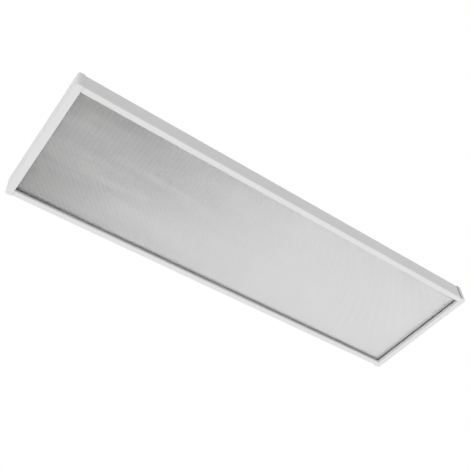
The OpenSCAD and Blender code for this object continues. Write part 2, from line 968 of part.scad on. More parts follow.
module hinge_pins() {
    color("silver")
        both_ends()
            translate([hinge_x - hinge_l / 2, hinge_y, hinge_z])
                rotate([0, 90, 0]) {
                    cylinder(h = hinge_l, r = hinge_pin_r);
                    translate([0, 0, -pin_head_h])
                        cylinder(h = pin_head_h, r = pin_head_r);
                    translate([0, 0, hinge_l])
                        cylinder(h = pin_head_h, r = pin_head_r);
                }
}

// Quarter-turn latch: a winged head, a shaft and a cam that turns under the gear box's flange
module cover_latch(side) {
    color("silver")
        translate([side * latch_x, latch_y, 0]) {
            translate([0, 0, cam_z])
                cylinder(h = cover_top_z - cam_z + cut, r = latch_shaft_r);
            translate([0, -cam_w / 2, cam_z])
                cube([latch_cam_l, cam_w, cam_t]);
            translate([0, 0, cover_top_z])
                cylinder(h = latch_head_h, r = latch_head_r);
            translate([-latch_wing_l / 2, -latch_wing_w / 2, cover_top_z])
                cube([latch_wing_l, latch_wing_w, latch_head_h + latch_wing_h]);
        }
}

// Hanger bracket: a folded strip with two ears that carry the hanger's feet
module hanger_bracket(side) {
    m = bracket_t / 2;
    ear_top_w = bracket_w / 2;
    color("white")
        on_side(side)
            difference() {
                translate([hanger_x, 0, top_z])
                    intersection() {
                        along_x(-bracket_w / 2, bracket_w / 2)
                            polygon(sheet(both_sides([[ear_y, ear_h], [ear_y, m]]),
                                bracket_t, bracket_fold_r));
                        along_y(-body_w / 2, body_w / 2)
                            polygon([
                                [-bracket_w / 2, 0], [bracket_w / 2, 0],
                                [bracket_w / 2, bracket_t * 2], [ear_top_w / 2, ear_h],
                                [-ear_top_w / 2, ear_h], [-bracket_w / 2, bracket_t * 2]]);
                    }
                translate([hanger_x, -half_w, pivot_z])
                    rotate([-90, 0, 0])
                        cylinder(h = body_w, r = foot_r + running_gap);
                translate([0, 0, top_z])
                    at_bracket_rivets()
                        hole(0, 0, 0, rivet_r + fixed_gap, 2 * (bracket_t + cut));
            }
}

module bracket_rivets() {
    color("silver")
        both_ends()
            translate([0, 0, top_z + bracket_t])
                at_bracket_rivets() rivet(bracket_t + sheet_t + tray_t + rivet_tail_l);
}

// Wire hanger: a V of round wire with a loop at its top, lying down towards the light's end
module hanger(side) {
    foot = [0, -hanger_foot_y, 0];
    bend = [foot, foot + [0, 3, 0], foot + [2.5, 6.5, 0], foot + [8, 9, 0]];
    loop = [for (a = [-70 : 20 : 70])
        [hanger_l - hanger_loop_r + hanger_loop_r * cos(a), hanger_loop_r * sin(a), 0]];
    route = concat(bend, loop, [for (p = reversed(bend)) [p[0], -p[1], p[2]]]);
    color("silver")
        on_side(side)
            translate([hanger_x, 0, pivot_z])
                rotate([0, hanger_tilt, 0]) {
                    tube(smooth(route, 4), wire_r, [0, 0, 1], 12);
                    for (y = [hanger_foot_y - foot_overlap, -ear_y - foot_end])
                        translate([0, y, 0])
                            rotate([-90, 0, 0])
                                cylinder(h = foot_l, r = foot_r);
                }
}

housing();
end_cap(-1);  // end_cap_left
end_cap(1);  // end_cap_right
end_cap_screws();
lens();
reflector_tray();
tray_screws();
end_reflector(-1);  // end_reflector_left
end_reflector(1);  // end_reflector_right
end_reflector_rivets();
led_board(0, -1);  // led_board_1_left
led_board(1, -1);  // led_board_2_left
led_board(2, -1);  // led_board_3_left
led_board(3, -1);  // led_board_4_left
led_board(0, 1);  // led_board_1_right
led_board(1, 1);  // led_board_2_right
led_board(2, 1);  // led_board_3_right
led_board(3, 1);  // led_board_4_right
led_packages();
board_rivets();
board_connectors();
led_harness(-1);  // led_harness_left
led_harness(1);  // led_harness_right
harness_splitters();
wire_grommets();
gear_box();
gear_box_end(-1);  // gear_box_end_left
gear_box_end(1);  // gear_box_end_right
gear_box_screws();
hole_plugs();
driver(-1);  // driver_left
driver(1);  // driver_right
driver_screws();
terminal_block();
live_leads();
neutral_leads();
earth_leads();
earth_screw();
gear_cover();
hinge_fixed_leaves();
hinge_cover_leaves();
hinge_pins();
cover_latch(-1);  // cover_latch_left
cover_latch(1);  // cover_latch_right
hanger_bracket(-1);  // hanger_bracket_left
hanger_bracket(1);  // hanger_bracket_right
bracket_rivets();
hanger(-1);  // hanger_left
hanger(1);  // hanger_right
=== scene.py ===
import json
from math import asin, cos, pi, radians, sin, sqrt

import bmesh
import bpy
from mathutils import Matrix, Vector


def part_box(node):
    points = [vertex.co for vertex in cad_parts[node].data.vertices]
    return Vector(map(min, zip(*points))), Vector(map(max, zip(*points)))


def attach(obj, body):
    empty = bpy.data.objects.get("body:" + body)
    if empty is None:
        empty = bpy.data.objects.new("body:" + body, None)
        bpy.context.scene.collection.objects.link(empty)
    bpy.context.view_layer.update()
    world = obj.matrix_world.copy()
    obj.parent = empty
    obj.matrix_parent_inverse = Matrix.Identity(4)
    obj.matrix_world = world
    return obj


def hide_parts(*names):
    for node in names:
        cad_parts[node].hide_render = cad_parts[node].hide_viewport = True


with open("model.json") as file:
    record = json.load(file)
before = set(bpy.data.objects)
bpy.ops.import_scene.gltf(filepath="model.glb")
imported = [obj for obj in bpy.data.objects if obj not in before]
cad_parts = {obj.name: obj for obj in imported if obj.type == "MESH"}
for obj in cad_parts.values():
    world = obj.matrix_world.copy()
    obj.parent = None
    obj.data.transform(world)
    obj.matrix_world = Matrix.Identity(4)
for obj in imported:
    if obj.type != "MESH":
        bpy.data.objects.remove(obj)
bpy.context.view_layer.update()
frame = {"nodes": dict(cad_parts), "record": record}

# Sizes are in metres, in the frame of the solids: +X along the light, +Z up, the lens facing down
MM = 0.001
BODY = "light"
nodes_of = frame["nodes"]
scene = bpy.context.scene

# The photograph's view: the eye stands below the light, near its left end, and looks up
CAMERA_PLACE = Vector((-0.8656, -0.9712, -1.3781))
CAMERA_AIM = Vector((-0.07854, -0.01685, 0.0))
CAMERA_ROLL = radians(-4.363)
CAMERA_LENS = 56.28


def add_object(name, data):
    """A new object in the scene that carries the data."""
    made = bpy.data.objects.new(name, data)
    scene.collection.objects.link(made)
    return made


def make_camera():
    data = bpy.data.cameras.new("photograph_view")
    data.lens = CAMERA_LENS
    data.clip_end = 100.0
    camera = add_object("photograph_view", data)
    turn = (CAMERA_AIM - CAMERA_PLACE).to_track_quat("-Z", "Y").to_matrix().to_4x4()
    camera.matrix_world = Matrix.Translation(CAMERA_PLACE) @ turn @ Matrix.Rotation(CAMERA_ROLL, 4, "Z")
    scene.camera = camera


make_camera()


# Helpers for node trees, which find the tree from a socket where they are given one
def feed(socket, value):
    """Links a socket to another one, or gives it a plain value."""
    if isinstance(value, bpy.types.NodeSocket):
        socket.id_data.links.new(value, socket)
    elif value is not None:
        socket.default_value = value


def place(tree, kind, inputs=None, **settings):
    """Adds a node with settings by name, and feeds its inputs by name or number."""
    node = tree.nodes.new(kind)
    for key, value in settings.items():
        setattr(node, key, value)
    for key, value in (inputs or {}).items():
        feed(node.inputs[key], value)
    return node


def tree_of(values):
    """The tree of the first value that is a socket."""
    return next(value.id_data for value in values if isinstance(value, bpy.types.NodeSocket))


def new_group(name, inputs, outputs):
    """A shader node group that draws at a place, with its inputs' and its outputs' sockets inside."""
    tree = bpy.data.node_groups.new(name, "ShaderNodeTree")
    for label, value in ({"Place": (0, 0, 0)} | inputs).items():
        kind = "NodeSocketVector" if isinstance(value, tuple) else "NodeSocketFloat"
        tree.interface.new_socket(label, in_out="INPUT", socket_type=kind).default_value = value
    for label in outputs:
        tree.interface.new_socket(label, in_out="OUTPUT", socket_type="NodeSocketFloat")
    return tree, tree.nodes.new("NodeGroupInput").outputs, tree.nodes.new("NodeGroupOutput").inputs


def noise(where, scale, detail=2.0, rough=0.5):
    inputs = {"Vector": where, "Scale": scale, "Detail": detail, "Roughness": rough}
    return place(where.id_data, "ShaderNodeTexNoise", inputs).outputs["Fac"]


def math(operation, *values):
    return place(tree_of(values), "ShaderNodeMath", dict(enumerate(values)), operation=operation).outputs[0]


def times(*values):
    """The product of all the values."""
    product = values[0]
    for value in values[1:]:
        product = math("MULTIPLY", product, value)
    return product


def spread(value, low, high, to_low=0.0, to_high=1.0):
    """Maps a value from one range to another, clamped."""
    inputs = dict(enumerate((value, low, high, to_low, to_high)))
    return place(value.id_data, "ShaderNodeMapRange", inputs).outputs[0]


def blend(factor, first, second, mode="MIX"):
    """Mixes two colours, each a socket or a plain colour."""
    inputs = {0: factor, 6: first, 7: second}
    mix = place(tree_of(inputs.values()), "ShaderNodeMix", inputs, data_type="RGBA", blend_type=mode)
    return mix.outputs[2]


def parts_of(vector):
    """A vector's X, Y and Z."""
    return place(vector.id_data, "ShaderNodeSeparateXYZ", {0: vector}).outputs[:]


def stretched(where, factors):
    inputs = {0: where, 1: factors}
    return place(where.id_data, "ShaderNodeVectorMath", inputs, operation="MULTIPLY").outputs[0]


def wave(where, direction, period):
    """Parallel waves from -1 to 1 along a direction."""
    inputs = {0: where, 1: direction}
    along = place(where.id_data, "ShaderNodeVectorMath", inputs, operation="DOT_PRODUCT")
    return math("SINE", times(along.outputs["Value"], 2 * pi / period))


def colour(*parts):
    return (*parts, 1.0)


# The range that most of a noise lies in
NOISE = (0.3, 0.7)

# Where the painted shade on the lips round the lens grows, towards the right end and the far side, and its
# share before
RIGHT_END = (0.5, 0.58)
FAR_SIDE = (-0.02, 0.14)
FAINTER_SHADE = 0.35


# Effects that several materials share
def make_skin_group():
    """Uneven tone and gloss and a fine skin, for powder coat and plastic."""
    tree, given, out = new_group(
        "fine_skin", {"Grains per metre": 600.0, "Least tone": 0.95, "Least gloss": 0.3, "Most gloss": 0.4},
        ["Tone", "Roughness", "Height"])
    cloud = noise(given["Place"], 5.0, 4.0)
    smear = noise(given["Place"], 38.0, 5.0, 0.65)
    feed(out["Tone"], spread(cloud, *NOISE, given["Least tone"]))
    feed(out["Roughness"], spread(smear, *NOISE, given["Least gloss"], given["Most gloss"]))
    feed(out["Height"], noise(given["Place"], given["Grains per metre"]))
    return tree


def make_brush_group():
    """Streaks of a brushed or rolled metal along X, with a mottled zinc bloom."""
    tree, given, out = new_group(
        "metal_grain", {"Stretch": (40, 900, 900), "Bloom per metre": 160.0}, ["Streak", "Bloom"])
    streaks = stretched(given["Place"], given["Stretch"])
    cells = place(tree, "ShaderNodeTexVoronoi", {"Vector": given["Place"], "Scale": given["Bloom per metre"]})
    feed(out["Streak"], noise(streaks, 1.0, 3.0))
    feed(out["Bloom"], cells.outputs["Distance"])
    return tree


def make_dust_group():
    """Dust in patches on faces that look up."""
    tree, given, out = new_group("settled_dust", {"Amount": 0.3}, ["Mask"])
    facing = parts_of(place(tree, "ShaderNodeNewGeometry").outputs["True Normal"])
    level = spread(facing[2], 0.6, 1.0)
    patches = spread(noise(given["Place"], 14.0, 6.0, 0.6), 0.35, 0.75, 0.2)
    feed(out["Mask"], times(level, patches, given["Amount"]))
    return tree


def make_recess_group():
    """Painted shade on the lens opening's upright lips: 0 up to a given height, and growing to 1 at the lens.
    """
    tree, given, out = new_group(
        "recess_grime",
        {"Half length": 0.5, "Half width": 0.2, "Clean to": 0.006, "Lens at": 0.0085, "Amount": 0.6},
        ["Mask"])
    x, y, z = parts_of(given["Place"])
    along = math("LESS_THAN", math("ABSOLUTE", x), given["Half length"])
    across = math("LESS_THAN", math("ABSOLUTE", y), given["Half width"])
    under = spread(z, given["Clean to"], given["Lens at"])
    below = math("LESS_THAN", z, given["Lens at"])
    patches = spread(noise(given["Place"], 9.0, 5.0), *NOISE, 0.85)
    # Painted shade, stronger towards the right end and the far side
    corner = math("MAXIMUM", spread(x, *RIGHT_END, FAINTER_SHADE), spread(y, *FAR_SIDE, FAINTER_SHADE))
    feed(out["Mask"], times(along, across, under, below, patches, corner, given["Amount"]))
    return tree


SKIN = make_skin_group()
BRUSH = make_brush_group()
DUST = make_dust_group()
RECESS = make_recess_group()


def start_material(name, **settings):
    """A material with plain values set, its shader's inputs, and the place to draw patterns at."""
    material = bpy.data.materials.new(name)
    material.use_nodes = True
    tree = material.node_tree
    shader = tree.nodes["Principled BSDF"].inputs
    for key, value in settings.items():
        shader[key.replace("_", " ")].default_value = value
    return material, shader, place(tree, "ShaderNodeTexCoord").outputs["Object"]


def use_group(group, where, **values):
    inputs = {"Place": where} | {key.replace("_", " "): value for key, value in values.items()}
    return place(where.id_data, "ShaderNodeGroup", inputs, node_tree=group).outputs


def bump(shader, height, depth):
    node = place(height.id_data, "ShaderNodeBump", {"Height": height, "Distance": depth, "Strength": 1.0})
    feed(shader["Normal"], node.outputs[0])


def toned(tone, base):
    """A base colour darkened by a tone from 0 to 1."""
    grey = place(tone.id_data, "ShaderNodeCombineColor", {0: tone, 1: tone, 2: tone})
    return blend(1.0, base, grey.outputs[0], "MULTIPLY")


def coated(name, base, gloss, least_tone, grains, depth, dust=0.0, metallic=0.0, specular=0.5):
    """Painted or moulded surface: skin, uneven gloss, and dust where it faces up."""
    material, shader, where = start_material(name, Metallic=metallic, Specular_IOR_Level=specular)
    skin = use_group(SKIN, where, Grains_per_metre=grains, Least_tone=least_tone,
                     Least_gloss=gloss[0], Most_gloss=gloss[1])
    paint = toned(skin["Tone"], base)
    if dust:
        settled = use_group(DUST, where, Amount=dust)
        paint = blend(settled["Mask"], paint, DUST_AND_SHADE_GREY)
    feed(shader["Base Color"], paint)
    feed(shader["Roughness"], skin["Roughness"])
    bump(shader, skin["Height"], depth)
    return material, shader, where, paint


def metal(name, base, dark, gloss, stretch, bloom, depth):
    """Bare or plated metal: rolled streaks, and a mottled bloom in its colour and gloss."""
    material, shader, where = start_material(name, Metallic=1.0)
    grain = use_group(BRUSH, where, Stretch=stretch, Bloom_per_metre=bloom)
    mottle = spread(grain["Bloom"], 0.1, 0.8)
    feed(shader["Base Color"], blend(mottle, base, dark))
    streaks = spread(grain["Streak"], *NOISE, *gloss)
    feed(shader["Roughness"], math("ADD", streaks, times(mottle, BLOOM_DULL)))
    bump(shader, grain["Streak"], depth)
    return material


# What a metal's bloom adds to its roughness
BLOOM_DULL = 0.06
# Grey of settled dust, also used for painted shade in the chamber's corners
DUST_AND_SHADE_GREY = colour(0.46, 0.44, 0.41)
PAINT_WHITE = colour(0.87, 0.872, 0.875)
REFLECTOR_WHITE = colour(0.88, 0.88, 0.88)
# Colour of the painted shade on the lips round the lens and in the right cap's joint
PAINTED_SHADE_GREY = colour(0.16, 0.16, 0.16)

lens_low, lens_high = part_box("lens")
housing_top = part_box("housing")[1]

# The opening's edges: the cap's inner end, and the housing's flange beside the lens
OPENING_HALF_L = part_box("end_cap_right")[0].x
OPENING_HALF_W = 0.1605
# How high the lips stay unshaded, how dark their painted shade is, and the width and darkness of the painted
# shade in the cap's joint
LIP_UNSHADED_TO = 7.0 * MM
LIP_SHADE = 0.85
JOINT_W = 1.0 * MM
JOINT_SHADE_AMOUNT = 0.75
FACE_MARGIN = 0.4 * MM


def joint_shade(where):
    """Painted shade: the dark line where the right cap's wrap ends on the housing's walls and top."""
    x, y, z = parts_of(where)
    off = math("ABSOLUTE", math("SUBTRACT", x, OPENING_HALF_L - JOINT_W / 2))
    near = math("LESS_THAN", off, JOINT_W / 2 + FACE_MARGIN)
    side = math("GREATER_THAN", math("ABSOLUTE", y), housing_top.y - FACE_MARGIN)
    top = math("GREATER_THAN", z, housing_top.z - FACE_MARGIN)
    return times(near, math("MAXIMUM", side, top), JOINT_SHADE_AMOUNT)


def make_white_paint():
    """Satin powder coat, with painted shade on the lips round the lens and in a joint, and dust on top."""
    material, shader, where, paint = coated(
        "white_powder_coat", PAINT_WHITE, (0.36, 0.46), 0.965, 1500.0, 0.00002, dust=0.3, specular=0.4)
    recess = use_group(RECESS, where, Half_length=OPENING_HALF_L + FACE_MARGIN,
                       Half_width=OPENING_HALF_W + FACE_MARGIN, Clean_to=LIP_UNSHADED_TO,
                       Lens_at=lens_low.z + FACE_MARGIN, Amount=LIP_SHADE)
    # Painted shade on the lips round the lens, then in the right cap's joint
    lips = blend(recess["Mask"], paint, PAINTED_SHADE_GREY)
    feed(shader["Base Color"], blend(joint_shade(where), lips, PAINTED_SHADE_GREY))
    return material


# Painted shade in the lamp chamber's corners: where it begins and ends, and how dark it gets
CORNER_X = (0.36, 0.58)
CORNER_Y = (0.04, 0.15)
CORNER_SHADE_DEPTH = 0.5


def make_reflector_paint():
    """Reflector white with painted shade in the chamber's corners."""
    material, shader, where, paint = coated(
        "reflector_paint", REFLECTOR_WHITE, (0.5, 0.65), 0.97, 1200.0, 0.00002, specular=0.3)
    x, y, _ = parts_of(where)
    along = spread(math("ABSOLUTE", x), *CORNER_X)
    across = spread(math("ABSOLUTE", y), *CORNER_Y, 0.0, CORNER_SHADE_DEPTH)
    # Painted shade towards the chamber's corners, in the dust grey
    feed(shader["Base Color"], blend(times(along, across), paint, DUST_AND_SHADE_GREY))
    return material


# The lens: its waves and warp in relief, its haze, and painted shade in its tone: hatches, streaks and a
# shaded corner
WAVE_PERIOD = 5.0 * MM
WAVE_HEIGHT = 0.018 * MM
WAVE_SHARE = 0.6
WARP_STRETCH = (2.5, 55.0, 55.0)
WARP_HEIGHT = 0.45 * MM
HAZE = (0.04, 0.07)
PRISM_HAZE = 0.236
ACROSS_PERIOD = 12.0 * MM
SLANT_PERIOD = 10.7 * MM
HATCH_FROM_X = (0.1, -0.45)
NEAR_HALF = (0.0, -0.05)
HATCH_DEPTH = 0.075
STREAK_STRETCH = (4.0, 36.0, 36.0)
STREAK_RANGE = (0.35, 0.65)
STREAK_DEPTHS = (0.0, 0.12)
SHADED_FROM_X = (-0.34, -0.54)
SHADED_FROM_Y = (0.02, 0.11)
SHADED_DEPTH = 0.12
RISING = (sqrt(0.5), sqrt(0.5), 0.0)
FALLING = (sqrt(0.5), -sqrt(0.5), 0.0)


def painted_lens_shade(where):
    """Painted shade: faint hatches of the fine prisms towards the left end, soft streaks and a shaded far
    corner.
    """
    x, y, _ = parts_of(where)
    near = spread(y, *NEAR_HALF)
    slanted = times(wave(where, FALLING, SLANT_PERIOD), math("SUBTRACT", 1.0, near))
    hatch = math("MULTIPLY_ADD", wave(where, (1.0, 0.0, 0.0), ACROSS_PERIOD), near, slanted)
    shade = times(spread(x, *HATCH_FROM_X, 0.0, HATCH_DEPTH / 2), math("ADD", hatch, 1.0))
    streak = noise(stretched(where, STREAK_STRETCH), 1.0)
    deep = spread(x, *HATCH_FROM_X, *STREAK_DEPTHS)
    loss = times(spread(streak, *STREAK_RANGE, 1.0, 0.0), deep)
    corner = times(spread(x, *SHADED_FROM_X, 0.0, SHADED_DEPTH), spread(y, *SHADED_FROM_Y))
    return math("SUBTRACT", 1.0, math("ADD", math("ADD", loss, corner), shade))


def make_acrylic():
    """Clear acrylic: its rolled prisms a little hazy, its flat side glossy, with faint waves."""
    material, shader, where = start_material("clear_prismatic_acrylic", Transmission_Weight=1.0, IOR=1.52)
    # Painted shade in the lens's base colour
    feed(shader["Base Color"], toned(painted_lens_shade(where), colour(1.0, 1.0, 1.0)))
    haze = spread(noise(where, 30.0, 4.0), *NOISE, *HAZE)
    prisms = math("LESS_THAN", parts_of(where)[2], lens_high.z - FACE_MARGIN)
    feed(shader["Roughness"], math("MULTIPLY_ADD", prisms, PRISM_HAZE, haze))
    one = wave(where, RISING, WAVE_PERIOD)
    other = wave(where, FALLING, WAVE_PERIOD)
    hatch = math("MULTIPLY_ADD", one, WAVE_SHARE, other)
    warp = noise(stretched(where, WARP_STRETCH), 1.0)
    bump(shader, math("MULTIPLY_ADD", warp, WARP_HEIGHT / WAVE_HEIGHT, hatch), WAVE_HEIGHT)
    return material


TRACKS_PER_METRE = 125.0
TRACK_EDGE = (0.34, 0.38)
TRACK_SHADE = 0.35


def make_board_mask():
    """White solder mask with faint, wide copper tracks under it."""
    material, shader, where, paint = coated(
        "white_solder_mask", colour(0.88, 0.89, 0.88), (0.22, 0.34), 0.96, 900.0, 0.00001)
    bands = math("FRACT", times(parts_of(where)[1], TRACKS_PER_METRE))
    off = math("ABSOLUTE", math("SUBTRACT", bands, 0.5))
    track = spread(off, *TRACK_EDGE, 0.0, TRACK_SHADE)
    feed(shader["Base Color"], blend(track, paint, colour(0.74, 0.75, 0.72)))
    return material


def plain_coat(name, base, gloss, least_tone=0.93, grains=1200.0, depth=0.00002, **settings):
    return coated(name, base, gloss, least_tone, grains, depth, **settings)[0]


WIRE_GLOSS = (0.3, 0.45)
EVEN_GRAIN = (320, 320, 320)
CAST_GRAIN = (900, 900, 900)
RIVET_GRAIN = (700, 700, 700)
DRAWN_GRAIN = (25, 1600, 1600)

MATERIALS = {
    "white_paint": make_white_paint(),
    "reflector_white": make_reflector_paint(),
    "prismatic_acrylic": make_acrylic(),
    "board_white": make_board_mask(),
    "led_phosphor": plain_coat("led_phosphor", colour(0.84, 0.74, 0.4), (0.25, 0.4), 0.9, 2500.0, 0.00001),
    "white_nylon": plain_coat("white_nylon", colour(0.83, 0.82, 0.78), (0.4, 0.55)),
    "black_insulation": plain_coat("black_wire", colour(0.03, 0.03, 0.032), WIRE_GLOSS, 0.7),
    "white_insulation": plain_coat("white_wire", colour(0.8, 0.8, 0.78), WIRE_GLOSS),
    "green_insulation": plain_coat("green_wire", colour(0.04, 0.3, 0.08), WIRE_GLOSS, 0.8),
    "green_screw": plain_coat("green_screw", colour(0.05, 0.34, 0.12), (0.25, 0.4), 0.85, metallic=0.3),
    "zinc_steel": metal("bright_zinc", colour(0.66, 0.67, 0.69), colour(0.5, 0.51, 0.53),
                        (0.24, 0.4), EVEN_GRAIN, 420.0, 0.000004),
    "latch_zinc": metal("cast_zinc", colour(0.55, 0.56, 0.57), colour(0.42, 0.43, 0.44),
                        (0.36, 0.5), CAST_GRAIN, 600.0, 0.00003),
    "rivet_aluminium": metal("rivet_aluminium", colour(0.74, 0.74, 0.75), colour(0.62, 0.62, 0.63),
                             (0.25, 0.4), RIVET_GRAIN, 500.0, 0.00001),
    "driver_case": metal("anodised_case", colour(0.68, 0.69, 0.7), colour(0.6, 0.61, 0.62),
                         (0.32, 0.44), DRAWN_GRAIN, 90.0, 0.00001),
}

SLOT_OF = {part["node"]: part["material_slot"] for part in frame["record"]["subparts"]}


def give_finish(mesh, slot):
    mesh.materials.clear()
    mesh.materials.append(MATERIALS[slot])


for name, node in nodes_of.items():
    give_finish(node.data, SLOT_OF[name])


# Making pieces
SMOOTH_BELOW = radians(34)


def stand_in(name, mesh, node, body=BODY, slot=None, smooth=True):
    """Adds a detailed piece in the place of a CAD node, in that node's finish or its own."""
    slot = slot or SLOT_OF[node]
    mesh.name = name
    give_finish(mesh, slot)
    if smooth:
        mesh.shade_smooth()
        mesh.set_sharp_from_angle(angle=SMOOTH_BELOW)
    piece = add_object(name, mesh)
    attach(piece, body)
    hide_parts(node)


def from_bmesh(shape):
    mesh = bpy.data.meshes.new("form")
    shape.to_mesh(mesh)
    shape.free()
    return mesh


def new_nodes_tree(name, inputs):
    """A geometry node tree with named inputs, and what they give."""
    tree = bpy.data.node_groups.new(name, "GeometryNodeTree")
    for label, kind in inputs.items():
        tree.interface.new_socket(label, in_out="INPUT", socket_type=f"NodeSocket{kind}")
    tree.interface.new_socket("Geometry", in_out="OUTPUT", socket_type="NodeSocketGeometry")
    return tree, tree.nodes.new("NodeGroupInput").outputs


def finish_tree(tree, given, made):
    """Ends a tree: what it made is made real, takes its material and is put out."""
    real = place(tree, "GeometryNodeRealizeInstances", {0: made}).outputs[0]
    coat = place(tree, "GeometryNodeSetMaterial", {"Geometry": real, "Material": given["Material"]})
    place(tree, "NodeGroupOutput", {"Geometry": coat.outputs["Geometry"]})
    return tree


def repeat_form(tree, given, points, turn=None):
    """Copies of the given form at points."""
    form = place(tree, "GeometryNodeObjectInfo", {"Object": given["Form"]})
    return place(tree, "GeometryNodeInstanceOnPoints", {
        "Points": points, "Instance": form.outputs["Geometry"], "Rotation": turn}).outputs[0]


def settle(host):
    """Takes the mesh that a host's modifiers make, and removes the host."""
    bpy.context.view_layer.update()
    made = bpy.data.meshes.new_from_object(host.evaluated_get(bpy.context.evaluated_depsgraph_get()))
    bpy.data.objects.remove(host)
    return made


def grown(tree, values, base=None):
    """The mesh that a geometry node tree makes with these inputs, given by name."""
    host = add_object(tree.name, base or bpy.data.meshes.new(tree.name))
    modifier = host.modifiers.new(tree.name, "NODES")
    modifier.node_group = tree
    for item in tree.interface.items_tree:
        if item.in_out == "INPUT" and item.name in values:
            modifier[item.identifier] = values[item.name]
    return settle(host)


def make_grid_tree():
    """Repeats a form at the points of a grid."""
    tree, given = new_nodes_tree("grid_of_forms", {
        "Form": "Object", "Columns": "Int", "Rows": "Int", "Length": "Float", "Width": "Float",
        "Material": "Material"})
    grid = place(tree, "GeometryNodeMeshGrid", {
        "Size X": given["Length"], "Size Y": given["Width"],
        "Vertices X": given["Columns"], "Vertices Y": given["Rows"]})
    copies = repeat_form(tree, given, grid.outputs["Mesh"])
    real = place(tree, "GeometryNodeRealizeInstances", {0: copies}).outputs[0]
    welded = place(tree, "GeometryNodeMergeByDistance", {"Geometry": real, "Distance": WELD})
    return finish_tree(tree, given, welded.outputs["Geometry"])


def make_places_tree():
    """Repeats a form at the vertices of the host mesh, each turned by chance between two turns."""
    tree, given = new_nodes_tree("forms_at_places", {
        "Geometry": "Geometry", "Form": "Object", "Least turn": "Vector", "Most turn": "Vector",
        "Seed": "Int", "Material": "Material"})
    inputs = {0: given["Least turn"], 1: given["Most turn"], "Seed": given["Seed"]}
    chance = place(tree, "FunctionNodeRandomValue", inputs, data_type="FLOAT_VECTOR")
    return finish_tree(tree, given, repeat_form(tree, given, given["Geometry"], chance.outputs[0]))


def make_tube_tree():
    """A round tube along each path of the host mesh."""
    tree, given = new_nodes_tree("tube_on_path", {
        "Geometry": "Geometry", "Radius": "Float", "Sides": "Int", "Material": "Material"})
    path = place(tree, "GeometryNodeMeshToCurve", {0: given["Geometry"]})
    ring = place(tree, "GeometryNodeCurvePrimitiveCircle", {
        "Resolution": given["Sides"], "Radius": given["Radius"]})
    tube = place(tree, "GeometryNodeCurveToMesh", {
        "Curve": path.outputs[0], "Profile Curve": ring.outputs["Curve"], "Fill Caps": True})
    return finish_tree(tree, given, tube.outputs[0])


WELD = 0.002 * MM
GRID_TREE = make_grid_tree()
PLACES_TREE = make_places_tree()
TUBE_TREE = make_tube_tree()

# Prismatic lens: square pyramids that point down, their sides at 45 degrees to the light's
PRISM_SIDE = 3.2 * MM
PRISM_DEPTH = 1.75 * MM
TRAY_GAP = 0.05 * MM


def prism_tile(step_x, step_y, tip_z, valley_z):
    """One square of the pattern: a pyramid in the middle and a quarter of one in each corner."""
    shape = bmesh.new()
    middle = shape.verts.new((0, 0, tip_z))
    for sx, sy in ((1, 1), (-1, 1), (-1, -1), (1, -1)):
        corner = shape.verts.new((sx * step_x, sy * step_y, tip_z))
        side_x = shape.verts.new((sx * step_x, 0, valley_z))
        side_y = shape.verts.new((0, sy * step_y, valley_z))
        loop = (middle, side_y, side_x) if sx * sy > 0 else (middle, side_x, side_y)
        shape.faces.new(loop)
        shape.faces.new((corner, loop[2], loop[1]))
    bmesh.ops.remove_doubles(shape, verts=shape.verts, dist=WELD)
    return from_bmesh(shape)


def make_lens():
    length = lens_high.x - lens_low.x
    width = lens_high.y - lens_low.y
    tile = PRISM_SIDE * sqrt(2)
    columns = round(length / tile)
    rows = round(width / tile)
    step_x = length / columns / 2
    step_y = width / rows / 2
    form = add_object("prism_tile", prism_tile(step_x, step_y, lens_low.z, lens_low.z + PRISM_DEPTH))
    mesh = grown(GRID_TREE, {
        "Form": form, "Columns": columns, "Rows": rows, "Length": length - 2 * step_x,
        "Width": width - 2 * step_y, "Material": MATERIALS["prismatic_acrylic"]})
    bpy.data.objects.remove(form)
    shape = bmesh.new()
    shape.from_mesh(mesh)
    rim = [edge for edge in shape.edges if edge.is_boundary]
    raised = bmesh.ops.extrude_edge_only(shape, edges=rim)["geom"]
    for vert in (part for part in raised if isinstance(part, bmesh.types.BMVert)):
        vert.co.z = lens_high.z - TRAY_GAP
    bmesh.ops.edgeloop_fill(shape, edges=[edge for edge in shape.edges if edge.is_boundary])
    bmesh.ops.triangulate(shape, faces=[face for face in shape.faces if len(face.verts) > 4])
    bmesh.ops.recalc_face_normals(shape, faces=shape.faces)
    stand_in("prismatic_lens", from_bmesh(shape), "lens", smooth=False)


make_lens()

# Forms in millimetres, which make up the pieces below
def solid_boxes(name):
    """The lowest and highest corners of each separate solid in a CAD node."""
    shape = bmesh.new()
    shape.from_mesh(nodes_of[name].data)
    bmesh.ops.remove_doubles(shape, verts=shape.verts, dist=WELD)
    boxes = []
    known = set()
    for first in shape.verts:
        if first in known:
            continue
        solid = ahead = {first}
        while ahead:
            ahead = {edge.other_vert(vert) for vert in ahead for edge in vert.link_edges} - solid
            solid = solid | ahead
        known |= solid
        boxes.append([Vector([pick(vert.co[i] for vert in solid) for i in range(3)]) for pick in (min, max)])
    shape.free()
    return boxes


def lathe(profile, at=(0, 0, 0), axis=(0, 0, 1), steps=32, ring=False):
    """A form turned from (radius, height) points about an axis; a ring joins its last point to its first."""
    shape = bmesh.new()
    circles = []
    for radius, height in profile:
        around = [2 * pi * i / steps for i in range(steps if radius else 1)]
        circles.append([shape.verts.new((radius * MM * cos(a), radius * MM * sin(a), height * MM))
                        for a in around])
    if ring:
        circles.append(circles[0])
    for low, high in zip(circles, circles[1:]):
        for i in range(steps):
            corners = ((low, i), (low, i + 1), (high, i + 1), (high, i))
            loop = dict.fromkeys(circle[j % len(circle)] for circle, j in corners)
            shape.faces.new(list(loop))
    turn = Vector(axis).to_track_quat("Z", "Y").to_matrix().to_4x4()
    bmesh.ops.transform(shape, matrix=Matrix.Translation(Vector(at) * MM) @ turn, verts=shape.verts)
    return from_bmesh(shape)


